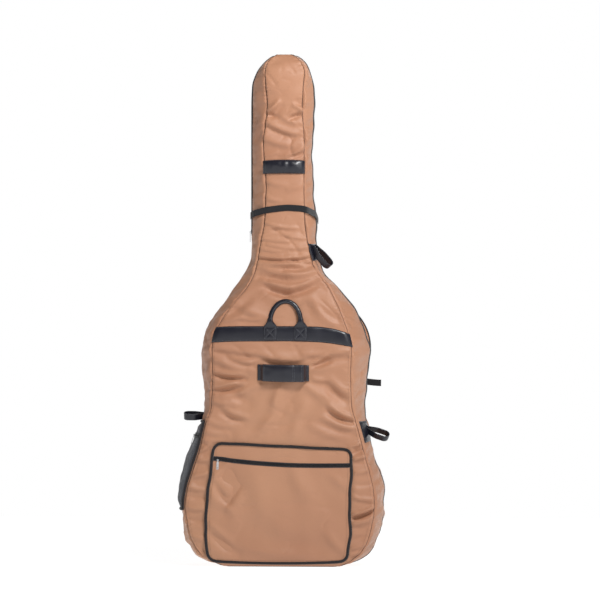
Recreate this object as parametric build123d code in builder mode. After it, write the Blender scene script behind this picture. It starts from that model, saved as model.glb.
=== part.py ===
from build123d import *

import math
import os
from collections import namedtuple

# Padded double-bass gig bag. Two padded half shells meet at a zip plane, y = 0. The front half opens
# about the left side like a door. Frame: +Z up, front of the bag towards -Y, origin on the floor at
# the middle of the base. Millimetres.

# Outline stations from the floor up: height, zip line left and right, front seam left and right,
# depth of the front half and of the back half.
STATIONS = [
    (3, -225, 232, -212, 218, 132, 132),
    (24, -284, 288, -262, 262, 140, 138),
    (50, -330, 323, -300, 296, 140, 140),
    (95, -357, 345, -330, 322, 140, 140),
    (150, -366, 363, -346, 338, 140, 140),
    (220, -373, 374, -355, 348, 140, 140),
    (290, -377, 375, -345, 344, 140, 140),
    (360, -361, 354, -324, 327, 140, 140),
    (440, -331, 328, -298, 306, 140, 140),
    (520, -296, 314, -280, 284, 140, 140),
    (600, -290, 303, -258, 264, 140, 140),
    (700, -300, 314, -254, 260, 140, 140),
    (800, -305, 322, -256, 263, 140, 140),
    (860, -292, 308, -246, 252, 138, 140),
    (920, -261, 283, -216, 230, 131, 138),
    (980, -220, 246, -173, 204, 120, 130),
    (1040, -176, 196, -125, 172, 106, 116),
    (1100, -136, 142, -98, 126, 94, 98),
    (1180, -117, 125, -82, 102, 87, 84),
    (1290, -117, 121, -64, 87, 84, 80),
    (1420, -117, 110, -60, 84, 82, 78),
    (1560, -117, 107, -70, 85, 80, 76),
    (1700, -117, 117, -55, 78, 82, 76),
    (1780, -114, 112, -60, 82, 84, 76),
    (1830, -98, 100, -64, 86, 80, 72),
    (1862, -76, 87, -58, 76, 70, 62),
    (1886, -50, 64, -40, 56, 54, 50),
    (1898, -26, 38, -20, 32, 40, 38),
]
FLOOR_Z = STATIONS[0][0]
TOP_Z = STATIONS[-1][0]
FLAT_DEPTH = 140          # depth of the flat part of the front and of the back

# Wall build-up, from the outside in.
SKIN = (0.0, 2.0)
FOAM = (2.3, 19.7)
LINING = (20.0, 22.0)
WALL = 22.0
GAP = 0.3
ZIP_EDGE = 9.0            # the padded edges stop this far from the zip plane
MIN_RIM = 17.0            # least depth left for a gusset at the very top

# Zip: tape and coil on each side of its centre line, and heights over the cloth.
TAPE_SPAN = (3.2, 8.7)
TAPE_RISE = (0.3, 1.3)
COIL_SPAN = (1.2, 3.2)
COIL_RISE = (-0.1, 2.1)
ZIP_LOW_LEFT = 200        # the zip ends here, low on the left
ZIP_NECK_START = 1226     # and here, at the foot of the neck
COIL_NECK_START = 1252

Level = namedtuple("Level", "z left right seam_left seam_right front back f_left f_right f_front f_back")


def stretch(index, column, room):
    """How much longer a wall of constant thickness is when cut level, on a sloping side."""
    below = STATIONS[max(index - 1, 0)]
    above = STATIONS[min(index + 1, len(STATIONS) - 1)]
    slope = (above[column] - below[column]) / (above[0] - below[0])
    return min(math.hypot(1, slope), room / WALL)


def make_levels():
    levels = []
    for index, row in enumerate(STATIONS):
        half_room = (row[2] - row[1]) / 2 - GAP
        factors = [stretch(index, column, half_room) for column in (1, 2)]
        factors += [stretch(index, column, row[column] - MIN_RIM) for column in (5, 6)]
        levels.append(Level(*row, *factors))
    return levels


LEVELS = make_levels()


def at(z):
    """The outline at any height, straight between stations."""
    for low, high in zip(LEVELS, LEVELS[1:]):
        if low.z <= z <= high.z:
            t = (z - low.z) / (high.z - low.z)
            return Level(*[a + (b - a) * t for a, b in zip(low, high)])
    raise ValueError(f"no outline at {z}")


def heights(low, high):
    inner = [level.z for level in LEVELS if low < level.z < high]
    return [low, *inner, high]


def outer_x(level, side, y):
    """Where the outside of the gusset is, at depth y; side is -1 on the left and 1 on the right.

    The band of the zip is flat. Beyond it the gusset slopes in to the seam.
    """
    zip_x = level.right if side > 0 else level.left
    run = abs(y) - ZIP_EDGE
    if run <= 0:
        return zip_x
    if y < 0:
        seam_x = level.seam_right if side > 0 else level.seam_left
        return zip_x + (seam_x - zip_x) * run / (level.front - ZIP_EDGE)
    seam_x = side * (level.seam_right - level.seam_left) / 2
    return zip_x + (seam_x - zip_x) * run / (level.back - ZIP_EDGE)


def wall_corners(z, side, y_a, y_b, d_out, d_in):
    """A piece of gusset wall between two depths, from d_out to d_in inside the outer surface."""
    level = at(z)
    factor = level.f_right if side > 0 else level.f_left
    corners = [(y_a, d_out), (y_b, d_out), (y_b, d_in), (y_a, d_in)]
    return [(outer_x(level, side, y) - side * d * factor, y) for y, d in corners]


def inner_y(level, half):
    """The inside of the front panel (half = -1) or of the back panel (half = 1)."""
    if half < 0:
        return -level.front + WALL * level.f_front
    return level.back - WALL * level.f_back


def panel_corners(z, half, d_out, d_in):
    """The front or the back panel, which runs out to the gusset's outer surface."""
    level = at(z)
    if half < 0:
        depths = [-level.front + d * level.f_front for d in (d_out, d_in)]
    else:
        depths = [level.back - d * level.f_back for d in (d_out, d_in)]
    near, far = depths
    return [
        (outer_x(level, -1, near), near),
        (outer_x(level, 1, near), near),
        (outer_x(level, 1, far), far),
        (outer_x(level, -1, far), far),
    ]


def base_corners(z, half):
    """The base of one half, between the insides of the gussets."""
    level = at(z)
    rim = half * ZIP_EDGE
    wall = inner_y(level, half) - half * GAP
    left = WALL * level.f_left + GAP
    right = WALL * level.f_right + GAP
    return [
        (outer_x(level, -1, rim) + left, rim),
        (outer_x(level, 1, rim) - right, rim),
        (outer_x(level, 1, wall) - right, wall),
        (outer_x(level, -1, wall) + left, wall),
    ]


def level_face(z, corners):
    with BuildSketch(Plane.XY.offset(z)) as outline:
        with BuildLine():
            Polyline(*corners, close=True)
        make_face()
    return outline.sketch


def add_loft(sections):
    """Lofts level outlines, given as (height, corners), in the part being built."""
    loft([level_face(z, corners) for z, corners in sections], ruled=True)


def gusset_sections(half, side, layer, low=FLOOR_Z, high=TOP_Z):
    sections = []
    for z in heights(low, high):
        front_end = inner_y(at(z), half) - half * GAP
        sections.append((z, wall_corners(z, side, half * ZIP_EDGE, front_end, *layer)))
    return sections


def panel_sections(half, layer):
    return [(z, panel_corners(z, half, *layer)) for z in heights(FLOOR_Z, TOP_Z)]


def base_sections(half, layer):
    low, high = FLOOR_Z + layer[0], FLOOR_Z + layer[1]
    return [(z, base_corners(z, half)) for z in heights(low, high)]


def strip_sections(side, span, rise, half, low, high):
    """A strip of zip along one side of the bag; span is across the zip, rise is over the cloth."""
    y_a, y_b = half * span[0], half * span[1]
    return [(z, wall_corners(z, side, y_a, y_b, -rise[1], -rise[0])) for z in heights(low, high)]


def add_box(x, y, z):
    """A box between two corners, given as a (low, high) pair for each direction."""
    middle = [(low + high) / 2 for low, high in (x, y, z)]
    with Locations(Vector(*middle)):
        Box(*[high - low for low, high in (x, y, z)])


def keep(builder, node):
    builder.part.label = node
    export_step(builder.part, f"parts/{node}.step")


# ---------------------------------------------------------------- padded shell

HALVES = {"front": -1, "back": 1}
SIDES = {"left": -1, "right": 1}


def make_shell_half(name, half):
    for layer_name, layer in (("skin", SKIN), ("foam", FOAM)):
        with BuildPart() as panel:
            add_loft(panel_sections(half, layer))
        keep(panel, f"{name}_panel_{layer_name}")
        for side_name, side in SIDES.items():
            with BuildPart() as gusset:
                add_loft(gusset_sections(half, side, layer))
            keep(gusset, f"{name}_{side_name}_gusset_{layer_name}")
        with BuildPart() as base:
            add_loft(base_sections(half, layer))
        keep(base, f"{name}_base_{layer_name}")


def make_lining(name, half):
    with BuildPart() as lining:
        add_loft(panel_sections(half, LINING))
        add_loft(gusset_sections(half, -1, LINING))
        add_loft(gusset_sections(half, 1, LINING))
        add_loft(base_sections(half, LINING))
    keep(lining, f"{name}_lining")


PATCH_X = (-205, 205)
PATCH_Y = (20, 112)
PATCH_Z = (0, 2.7)


def make_base_patch(name, half):
    near, far = sorted(half * y for y in PATCH_Y)
    with BuildPart() as patch:
        add_box(PATCH_X, (near, far), PATCH_Z)
        fillet(patch.edges().filter_by(Axis.Z), radius=20)
    keep(patch, f"{name}_base_patch")


def add_zip_run(half, span, rise, neck_start, top_z, bottom_z):
    """One side of the main zip: up the neck, over the top, down the right and under the base."""
    near, far = sorted((half * span[0], half * span[1]))
    add_loft(strip_sections(-1, span, rise, half, neck_start, TOP_Z))
    add_loft(strip_sections(1, span, rise, half, FLOOR_Z, TOP_Z))
    add_loft(strip_sections(-1, span, rise, half, FLOOR_Z, ZIP_LOW_LEFT))
    add_box((at(TOP_Z).left - 2, at(TOP_Z).right + 2), (near, far), (TOP_Z + 0.4, top_z))
    add_box((at(FLOOR_Z).left - 2, at(FLOOR_Z).right + 2), (near, far), (bottom_z, FLOOR_Z - 0.4))


def make_main_zip(name, half):
    with BuildPart() as tape:
        add_zip_run(half, TAPE_SPAN, TAPE_RISE, ZIP_NECK_START, TOP_Z + 1.6, 1.4)
    keep(tape, f"{name}_zip_tape")
    with BuildPart() as coil:
        add_zip_run(half, COIL_SPAN, COIL_RISE, COIL_NECK_START, TOP_Z + 2.0, 0.8)
    keep(coil, f"{name}_zip_coil")


def make_hinge_strip():
    """The cloth left uncut down the left side, which the front half opens about."""
    edge = ZIP_EDGE - 0.5
    with BuildPart() as strip:
        sections = [
            (z, wall_corners(z, -1, -edge, edge, *SKIN))
            for z in heights(ZIP_LOW_LEFT, ZIP_NECK_START)
        ]
        add_loft(sections)
    keep(strip, "left_hinge_strip")


# ---------------------------------------------------------------- zip sliders and pulls

SLIDER_L, SLIDER_W, PLATE = 16.0, 10.0, 1.8
OUTER_PLATE_Z, INNER_PLATE_Z = 2.7, -2.7     # middles of the plates, from the tape's middle
BAIL_Z = 6.4                                 # pull pin over the tape's middle
PIN_R, EYE_R, EYE_W = 1.0, 1.35, 4.4
PULL_L, PULL_W, PULL_T = 34.0, 8.0, 1.6


def make_slider(node, plane, turn):
    """A coil-zip slider: two plates on a post, with a pin that holds the pull."""
    with BuildPart(plane) as slider:
        with Locations((0, 0, OUTER_PLATE_Z), (0, 0, INNER_PLATE_Z)):
            Box(SLIDER_L, SLIDER_W, PLATE)
        fillet(slider.edges().filter_by(Axis(plane.origin, plane.z_dir)), radius=3.0)
        with Locations((SLIDER_L / 2 - 3, 0, 0)):
            Box(3, 1.6, OUTER_PLATE_Z - INNER_PLATE_Z)
        with Locations(Location((0, 0, BAIL_Z), (0, 0, turn))):
            with Locations((0, 3.2, -0.7), (0, -3.2, -0.7)):
                Box(3, 1.4, 4.4)
            Cylinder(radius=PIN_R, height=7.0, rotation=(90, 0, 0))
    keep(slider, node)


def make_pull(node, plane, turn):
    """The pull tab that hangs on the slider's pin."""
    with BuildPart(plane) as pull:
        with Locations(Location((0, 0, BAIL_Z), (0, 0, turn))):
            Cylinder(radius=2.3, height=EYE_W, rotation=(90, 0, 0))
            with Locations((-4, 0, 0)):
                Box(8, EYE_W, PULL_T)
            with Locations((-6 - PULL_L / 2, 0, 0)):
                Box(PULL_L - 4, PULL_W, PULL_T)
            with Locations((4 - PULL_L, 0, 0)):
                Cylinder(radius=2.0, height=PULL_T + 1, mode=Mode.SUBTRACT)
            Cylinder(radius=EYE_R, height=EYE_W + 1, rotation=(90, 0, 0), mode=Mode.SUBTRACT)
    keep(pull, node)


NECK_ZIP_X = at(1400).left - 0.8
MAIN_SLIDER_Z = 1240
MAIN_ZIP = Plane(origin=(NECK_ZIP_X, 0, MAIN_SLIDER_Z), x_dir=(0, 0, 1), z_dir=(-1, 0, 0))


# ---------------------------------------------------------------- music pocket

POCKET_OUTLINE = [(-250, 452), (257, 433), (252, 120), (240, 27), (-268, 27), (-277, 120)]
POCKET_CORNER_R = 26
POCKET_GAP = 7.0          # space inside the flat pocket
POCKET_SKIN = 2.0
PIPING_W, PIPING_H = 9.0, 10.0
MUSIC_ZIP_LEFT, MUSIC_ZIP_RIGHT = (-247, 397), (254, 373)
MUSIC_SLOT = 12.0
MUSIC_TAPE_SPAN = (3.2, 12.0)
MUSIC_SLIDER_START = 16.0
POCKET_BACK = Plane(origin=(0, -FLAT_DEPTH, 0), x_dir=(1, 0, 0), z_dir=(0, -1, 0))
POCKET_FACE = POCKET_BACK.offset(POCKET_GAP)
MUSIC_ZIP_ANGLE = math.degrees(
    math.atan2(MUSIC_ZIP_RIGHT[1] - MUSIC_ZIP_LEFT[1], MUSIC_ZIP_RIGHT[0] - MUSIC_ZIP_LEFT[0])
)
MUSIC_ZIP_LENGTH = math.hypot(MUSIC_ZIP_RIGHT[0] - MUSIC_ZIP_LEFT[0], MUSIC_ZIP_RIGHT[1] - MUSIC_ZIP_LEFT[1])
MUSIC_ZIP_MIDDLE = [(a + b) / 2 for a, b in zip(MUSIC_ZIP_LEFT, MUSIC_ZIP_RIGHT)]


def pocket_outline(grow):
    """The pocket's rounded outline, grown or shrunk all round."""
    with BuildSketch() as outline:
        with BuildLine():
            FilletPolyline(*POCKET_OUTLINE, radius=POCKET_CORNER_R, close=True)
        make_face()
        if grow:
            offset(amount=grow)
    return outline.sketch


def make_pocket_panels():
    above = 400.0
    for node, shift in (("music_pocket_panel", 1), ("music_pocket_top", -1)):
        with BuildPart() as panel:
            with BuildSketch(POCKET_FACE):
                add(pocket_outline(-GAP))
                turn = Location((*MUSIC_ZIP_MIDDLE, 0), (0, 0, MUSIC_ZIP_ANGLE))
                with Locations(turn * Location((0, shift * (above - MUSIC_SLOT / 2), 0))):
                    Rectangle(3 * above, 2 * above, mode=Mode.SUBTRACT)
            extrude(amount=POCKET_SKIN)
        keep(panel, node)


def make_pocket_piping():
    with BuildPart() as piping:
        with BuildSketch(POCKET_BACK.offset(GAP)):
            add(pocket_outline(PIPING_W))
            add(pocket_outline(0), mode=Mode.SUBTRACT)
        extrude(amount=PIPING_H)
        fillet(piping.faces().sort_by(Axis.Y)[0].edges(), radius=3.0)
    keep(piping, "music_pocket_piping")


def add_straight_strips(plane, length, span, rise):
    """The two sides of a straight zip, centred on a plane whose x runs along it."""
    middle, width = (span[0] + span[1]) / 2, span[1] - span[0]
    with BuildSketch(plane.offset(rise[0])) as strips:
        with Locations((0, middle), (0, -middle)):
            Rectangle(length, width)
    extrude(strips.sketch, amount=rise[1] - rise[0])


MUSIC_ZIP = Plane(
    origin=POCKET_FACE.offset(POCKET_SKIN).from_local_coords((*MUSIC_ZIP_MIDDLE, 0)),
    x_dir=(math.cos(math.radians(MUSIC_ZIP_ANGLE)), 0, math.sin(math.radians(MUSIC_ZIP_ANGLE))),
    z_dir=(0, -1, 0),
)
TAPE_MIDDLE = (TAPE_RISE[0] + TAPE_RISE[1]) / 2
MUSIC_SLIDER = MUSIC_ZIP.offset(TAPE_MIDDLE).shift_origin(
    MUSIC_ZIP.offset(TAPE_MIDDLE).from_local_coords((MUSIC_SLIDER_START - MUSIC_ZIP_LENGTH / 2, 0, 0))
)


def make_pocket_zip():
    with BuildPart() as tape:
        add_straight_strips(MUSIC_ZIP, MUSIC_ZIP_LENGTH - 2, MUSIC_TAPE_SPAN, TAPE_RISE)
    keep(tape, "music_zip_tape")
    coil_length = MUSIC_ZIP_LENGTH - 2 * MUSIC_SLIDER_START
    with BuildPart() as coil:
        add_straight_strips(MUSIC_ZIP, coil_length, COIL_SPAN, COIL_RISE)
    keep(coil, "music_zip_coil")


# ---------------------------------------------------------------- mesh pocket on the left gusset

MESH_Y = (-126, -20)
MESH_Z = (212, 470)
MESH_BULGE = (16.5, 18.0)
MESH_RIM = 7.0
MESH_ZIP_Z = 483
MESH_TOP_Z = 527
MESH_ZIP_HALF = 9.0


def gusset_direction(z):
    """Unit vector along the left gusset at one height, from the zip plane to the front seam."""
    level = at(z)
    run = level.seam_left - level.left
    depth = level.front - ZIP_EDGE
    size = math.hypot(run, depth)
    return run / size, -depth / size


def make_mesh_pocket():
    rim_low, rim_high = MESH_Y[0] + MESH_RIM, MESH_Y[1] - MESH_RIM
    outer = (-MESH_BULGE[1], -MESH_BULGE[0])
    with BuildPart() as mesh:
        sections = [
            (z, wall_corners(z, -1, rim_low + GAP, rim_high - GAP, *outer))
            for z in heights(MESH_Z[0] + MESH_RIM + GAP, MESH_Z[1])
        ]
        add_loft(sections)
    keep(mesh, "mesh_pocket_panel")
    with BuildPart() as top:
        sections = [
            (z, wall_corners(z, -1, rim_low + GAP, rim_high - GAP, *outer))
            for z in heights(MESH_ZIP_Z + MESH_ZIP_HALF + 4, MESH_TOP_Z)
        ]
        add_loft(sections)
    keep(top, "mesh_pocket_top")


def make_mesh_binding():
    """The bound rim that stands the mesh off the gusset: front, rear, bottom and top."""
    low_y, high_y = MESH_Y
    depth = (-MESH_BULGE[1] - 1, -GAP)
    with BuildPart() as binding:
        for y_a, y_b in ((low_y, low_y + MESH_RIM), (high_y - MESH_RIM, high_y)):
            run = heights(MESH_Z[0], MESH_TOP_Z + MESH_RIM)
            add_loft([(z, wall_corners(z, -1, y_a, y_b, *depth)) for z in run])
        for z_low in (MESH_Z[0], MESH_TOP_Z + GAP):
            run = heights(z_low, z_low + MESH_RIM - GAP)
            add_loft([(z, wall_corners(z, -1, low_y + 1, high_y - 1, *depth)) for z in run])
    keep(binding, "mesh_pocket_binding")


MESH_ZIP_SPAN = -2 * MESH_RIM + MESH_Y[1] - MESH_Y[0] - 4
MESH_ZIP_MIDDLE_Y = (MESH_Y[0] + MESH_Y[1]) / 2
MESH_DIR = gusset_direction(MESH_ZIP_Z)
MESH_ZIP_X = outer_x(at(MESH_ZIP_Z), -1, MESH_ZIP_MIDDLE_Y) - MESH_BULGE[0] * at(MESH_ZIP_Z).f_left
MESH_SLOPE_STEP = 8
MESH_SLOPE = [
    outer_x(at(MESH_ZIP_Z + step), -1, MESH_ZIP_MIDDLE_Y) for step in (-MESH_SLOPE_STEP, MESH_SLOPE_STEP)
]
MESH_UP = Vector(MESH_SLOPE[1] - MESH_SLOPE[0], 0, 2 * MESH_SLOPE_STEP)
MESH_ZIP = Plane(
    origin=(MESH_ZIP_X, MESH_ZIP_MIDDLE_Y, MESH_ZIP_Z),
    x_dir=(MESH_DIR[0], MESH_DIR[1], 0),
    z_dir=Vector(MESH_DIR[0], MESH_DIR[1], 0).cross(MESH_UP).normalized(),
)
MESH_SLIDER_START = 12.0
MESH_SLIDER = MESH_ZIP.offset(TAPE_MIDDLE).shift_origin(
    MESH_ZIP.offset(TAPE_MIDDLE).from_local_coords((MESH_SLIDER_START - MESH_ZIP_SPAN / 2, 0, 0))
)


def make_mesh_zip():
    with BuildPart() as tape:
        add_straight_strips(MESH_ZIP, MESH_ZIP_SPAN, (TAPE_SPAN[0], MESH_ZIP_HALF), TAPE_RISE)
    keep(tape, "mesh_zip_tape")
    with BuildPart() as coil:
        add_straight_strips(MESH_ZIP, MESH_ZIP_SPAN - 4, COIL_SPAN, COIL_RISE)
    keep(coil, "mesh_zip_coil")


# ---------------------------------------------------------------- leatherette band and handles

BAND_Z = (838, 890)
BAND_RISE = (0.4, 2.4)
BAND_SIDE = 3.0            # how far the band reaches past the front seams
HANDLE_X = 22.0
HANDLE_REACH = 48.0        # from the middle of the handle to each leg
HANDLE_FOOT_Z = 897
HANDLE_STRAIGHT = 42.0
HANDLE_TUBE_R = 7.5
HANDLE_RISE = 13.0
BOX_PATCH_W = 46.0
BOX_PATCH_X = 56.0


def front_strip(z_low, z_high, x_low, x_high, rise):
    """Sections of a strip that lies on the front panel."""
    sections = []
    for z in heights(z_low, z_high):
        near, far = -at(z).front - rise[0], -at(z).front - rise[1]
        sections.append((z, [(x_low, far), (x_high, far), (x_high, near), (x_low, near)]))
    return sections


def make_band():
    left = at(BAND_Z[0]).seam_left - BAND_SIDE
    right = at(BAND_Z[0]).seam_right + BAND_SIDE
    with BuildPart() as band:
        add_loft(front_strip(*BAND_Z, left, right, BAND_RISE))
    keep(band, "leather_band")
    with BuildPart() as patches:
        for x in (HANDLE_X - BOX_PATCH_X, HANDLE_X + BOX_PATCH_X):
            z_low, z_high = BAND_Z[0] + 3, BAND_Z[1] - 3
            half = BOX_PATCH_W / 2
            rise = (BAND_RISE[1] + GAP, BAND_RISE[1] + GAP + 1.6)
            add_loft(front_strip(z_low, z_high, x - half, x + half, rise))
    keep(patches, "handle_foot_patches")


def handle_plane():
    """The plane of the rolled handle, leaning back with the front panel."""
    foot, top = at(HANDLE_FOOT_Z), at(HANDLE_FOOT_Z + HANDLE_STRAIGHT + HANDLE_REACH)
    lean = math.atan2(foot.front - top.front, top.z - foot.z)
    origin = (HANDLE_X, -foot.front - HANDLE_RISE, HANDLE_FOOT_Z)
    return Plane(origin=origin, x_dir=(1, 0, 0), z_dir=(0, -math.cos(lean), math.sin(lean)))


def make_top_handle():
    plane = handle_plane()
    with BuildPart() as handle:
        with BuildLine(plane) as path:
            left_leg = Line((-HANDLE_REACH, 0), (-HANDLE_REACH, HANDLE_STRAIGHT))
            arch = ThreePointArc(
                left_leg @ 1, (0, HANDLE_STRAIGHT + HANDLE_REACH), (HANDLE_REACH, HANDLE_STRAIGHT)
            )
            Line(arch @ 1, (HANDLE_REACH, 0))
        with BuildSketch(Plane(origin=path.line @ 0, z_dir=path.line % 0)):
            Circle(HANDLE_TUBE_R)
        sweep()
    keep(handle, "top_handle")


GRAB_X = (-87, 105)
GRAB_Z = (684, 755)
GRAB_TAB = 25.0
GRAB_BOW = 33.0
GRAB_T = 4.0


def make_grab_handle():
    middle = (GRAB_X[0] + GRAB_X[1]) / 2
    base = -FLAT_DEPTH - 0.5
    left, right = GRAB_X[0] + GRAB_TAB, GRAB_X[1] - GRAB_TAB
    with BuildPart() as handle:
        with BuildSketch(Plane.XY.offset(GRAB_Z[0])):
            with BuildLine():
                outer = ThreePointArc((left - 6, base), (middle, base - GRAB_BOW), (right + 6, base))
                Line(outer @ 1, (right, base))
                inner = ThreePointArc((right, base), (middle, base - GRAB_BOW + GRAB_T), (left, base))
                Line(inner @ 1, outer @ 0)
            make_face()
            for x in (GRAB_X[0] + GRAB_TAB / 2, GRAB_X[1] - GRAB_TAB / 2):
                with Locations((x, base - 1.5)):
                    Rectangle(GRAB_TAB, 3)
        extrude(amount=GRAB_Z[1] - GRAB_Z[0])
    keep(handle, "grab_handle")


NECK_PAD_X = (-62, 86)
NECK_PAD_Z = (1452, 1504)
NECK_PAD_T = 13.0


def make_neck_pad():
    back = -at(NECK_PAD_Z[0]).front - 0.5
    with BuildPart() as pad:
        add_box(NECK_PAD_X, (back - NECK_PAD_T, back), NECK_PAD_Z)
        fillet(pad.faces().sort_by(Axis.Y)[0].edges(), radius=6)
    keep(pad, "neck_grip_pad")


STRAP_Z = 1290
STRAP_W = 25.0
STRAP_T = 1.8
STRAP_LIFT = 2.6
STRAP_TAIL_Y = 42.0
STRAP_START_Y = 16.0


def ribbon_corners(points, thickness):
    """A band of constant thickness on the right-hand side of a path in the level plane."""
    normals = []
    for (ax, ay), (bx, by) in zip(points, points[1:]):
        size = math.hypot(bx - ax, by - ay)
        normals.append(((by - ay) / size, (ax - bx) / size))
    outer = []
    for index, (x, y) in enumerate(points):
        before = normals[max(index - 1, 0)]
        after = normals[min(index, len(normals) - 1)]
        scale = thickness / (1 + before[0] * after[0] + before[1] * after[1])
        outer.append((x + (before[0] + after[0]) * scale, y + (before[1] + after[1]) * scale))
    return [*points, *reversed(outer)]


def make_neck_strap():
    """The webbing that closes round the neck; its free tail stands clear of the back half."""
    level = at(STRAP_Z)
    rim = -STRAP_START_Y
    left_x = outer_x(level, -1, rim) - STRAP_LIFT
    path = [
        (left_x, rim),
        (level.seam_left - STRAP_LIFT, -level.front - STRAP_LIFT),
        (level.seam_right + STRAP_LIFT, -level.front - STRAP_LIFT),
        (level.right + STRAP_LIFT, -ZIP_EDGE),
        (level.right + STRAP_LIFT + 1, ZIP_EDGE),
        (level.right + STRAP_LIFT + 4, STRAP_TAIL_Y),
    ]
    with BuildPart() as strap:
        with BuildSketch(Plane.XY.offset(STRAP_Z)):
            with BuildLine():
                Polyline(*ribbon_corners(path, STRAP_T), close=True)
            make_face()
        extrude(amount=STRAP_W)
    keep(strap, "neck_strap")


# ---------------------------------------------------------------- carry loops

LOOP_H, LOOP_T = 28.0, 3.0
UPPER_LOOP = Plane(origin=(133, -50, 1176), x_dir=(0.645, 0, -0.764), z_dir=(0.764, 0, 0.645))
LEFT_LOOP = Plane(origin=(-296, -40, 556), x_dir=(-1, 0, 0), z_dir=(0, 0, 1))
RIGHT_LOOP = Plane(origin=(320, -55, 502), x_dir=(0.94, 0, -0.342), z_dir=(0.342, 0, 0.94))
LOOPS = {
    "upper_loop": (UPPER_LOOP, 84.0, 20.0),
    "left_loop": (LEFT_LOOP, 76.0, 25.0),
    "right_loop": (RIGHT_LOOP, 80.0, 25.0),
}
LOOP_PATCHES = [(1, (-80, -22), (1141, 1190)), (-1, (-62, -20), (544, 566)), (1, (-95, -20), (464, 538))]


def make_loops():
    for node, (plane, length, width) in LOOPS.items():
        with BuildPart() as loop:
            with BuildSketch(plane):
                with Locations((length / 2, 0)):
                    SlotOverall(length, LOOP_H)
                    SlotOverall(length - 2 * LOOP_T, LOOP_H - 2 * LOOP_T, mode=Mode.SUBTRACT)
            extrude(amount=width / 2, both=True)
        keep(loop, node)


def make_loop_patches():
    with BuildPart() as patches:
        for side, (y_a, y_b), (low, high) in LOOP_PATCHES:
            add_loft([(z, wall_corners(z, side, y_a, y_b, -2.3, -GAP)) for z in heights(low, high)])
    keep(patches, "loop_patches")


# ---------------------------------------------------------------- shoulder straps on the back

PAD_W, PAD_T, PAD_LIFT = 64.0, 14.0, 2.0
PAD_ARCS = {"right": [(130, 985), (285, 850), (232, 690)], "left": [(-130, 985), (-248, 850), (-220, 690)]}
PAD_Y = FLAT_DEPTH + PAD_LIFT
WEB_W, WEB_T = 25.0, 1.8
WEB_Y = (PAD_Y + 3, PAD_Y + 3 + WEB_T)
BUCKLE_Z = (636, 668)
WEB_FOOT_Z = 430
TAIL_X = (240, 357)
TAIL_Y = (PAD_Y + PAD_T + 1, PAD_Y + PAD_T + 1 + WEB_T)
TAIL_Z = (664, 690)


def make_shoulder_pads():
    plane = Plane(origin=(0, PAD_Y, 0), x_dir=(1, 0, 0), z_dir=(0, -1, 0))
    for name, (top, middle, bottom) in PAD_ARCS.items():
        with BuildPart() as pad:
            with BuildSketch(plane):
                with BuildLine():
                    ThreePointArc(top, middle, bottom)
                trace(line_width=PAD_W)
            extrude(amount=-PAD_T)
            fillet(pad.edges().filter_by(Axis.Y), radius=18)
        keep(pad, f"shoulder_strap_{name}")


def buckle_x(name):
    return PAD_ARCS[name][2][0]


def make_strap_webbing():
    with BuildPart() as webbing:
        for name in PAD_ARCS:
            x = (buckle_x(name) - WEB_W / 2, buckle_x(name) + WEB_W / 2)
            add_box(x, WEB_Y, (WEB_FOOT_Z, BUCKLE_Z[0] + 4))
    keep(webbing, "strap_webbing")
    with BuildPart() as tail:
        add_box(TAIL_X, TAIL_Y, TAIL_Z)
    keep(tail, "webbing_tail")


def make_ladder_locks():
    """Ladder-lock buckles: a frame with a cross bar."""
    with BuildPart() as buckles:
        for name in PAD_ARCS:
            x = buckle_x(name)
            add_box((x - 18, x + 18), (WEB_Y[1] + GAP, WEB_Y[1] + 4.3), BUCKLE_Z)
            with Locations((x, WEB_Y[1] + 2, BUCKLE_Z[0] + 10), (x, WEB_Y[1] + 2, BUCKLE_Z[1] - 10)):
                Box(27, 10, 6, mode=Mode.SUBTRACT)
    keep(buckles, "ladder_locks")


def back_block(z_low, z_high, x_low, x_high):
    """Sections between the sloping back panel and the flat back of a strap."""
    sections = []
    for z in heights(z_low, z_high):
        near = at(z).back + GAP
        far = PAD_Y - GAP
        sections.append((z, [(x_low, near), (x_high, near), (x_high, far), (x_low, far)]))
    return sections


def make_strap_anchors():
    with BuildPart() as anchors:
        for name, side in SIDES.items():
            x = side * 150
            add_loft(back_block(940, 968, x - 24, x + 24))
            foot = buckle_x(name)
            add_box((foot - 22, foot + 22), (FLAT_DEPTH + GAP, WEB_Y[0] - GAP), (415, 460))
    keep(anchors, "strap_anchors")


# ---------------------------------------------------------------- inside

BRIDGE_PAD = {"x": (-80, 80), "z": (520, 660), "t": 8.0}


def make_bridge_pad():
    face = -FLAT_DEPTH + WALL + GAP
    with BuildPart() as pad:
        add_box(BRIDGE_PAD["x"], (face, face + BRIDGE_PAD["t"]), BRIDGE_PAD["z"])
        fillet(pad.edges().filter_by(Axis.Y), radius=20)
    keep(pad, "bridge_pad")


def make_everything():
    os.makedirs("parts", exist_ok=True)
    for name, half in HALVES.items():
        make_shell_half(name, half)
        make_lining(name, half)
        make_base_patch(name, half)
        make_main_zip(name, half)
    make_hinge_strip()
    make_slider("main_slider", MAIN_ZIP, 0)
    make_pull("main_pull", MAIN_ZIP, 0)
    make_pocket_panels()
    make_pocket_piping()
    make_pocket_zip()
    make_slider("music_slider", MUSIC_SLIDER, 90)
    make_pull("music_pull", MUSIC_SLIDER, 90)
    make_mesh_pocket()
    make_mesh_binding()
    make_mesh_zip()
    make_slider("mesh_slider", MESH_SLIDER, 90)
    make_pull("mesh_pull", MESH_SLIDER, 90)
    make_band()
    make_top_handle()
    make_grab_handle()
    make_neck_pad()
    make_neck_strap()
    make_loops()
    make_loop_patches()
    make_shoulder_pads()
    make_strap_webbing()
    make_ladder_locks()
    make_strap_anchors()
    make_bridge_pad()


make_everything()
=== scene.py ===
import math

import bmesh
import bpy
import numpy as np
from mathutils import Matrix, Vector
from mathutils.bvhtree import BVHTree


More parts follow.
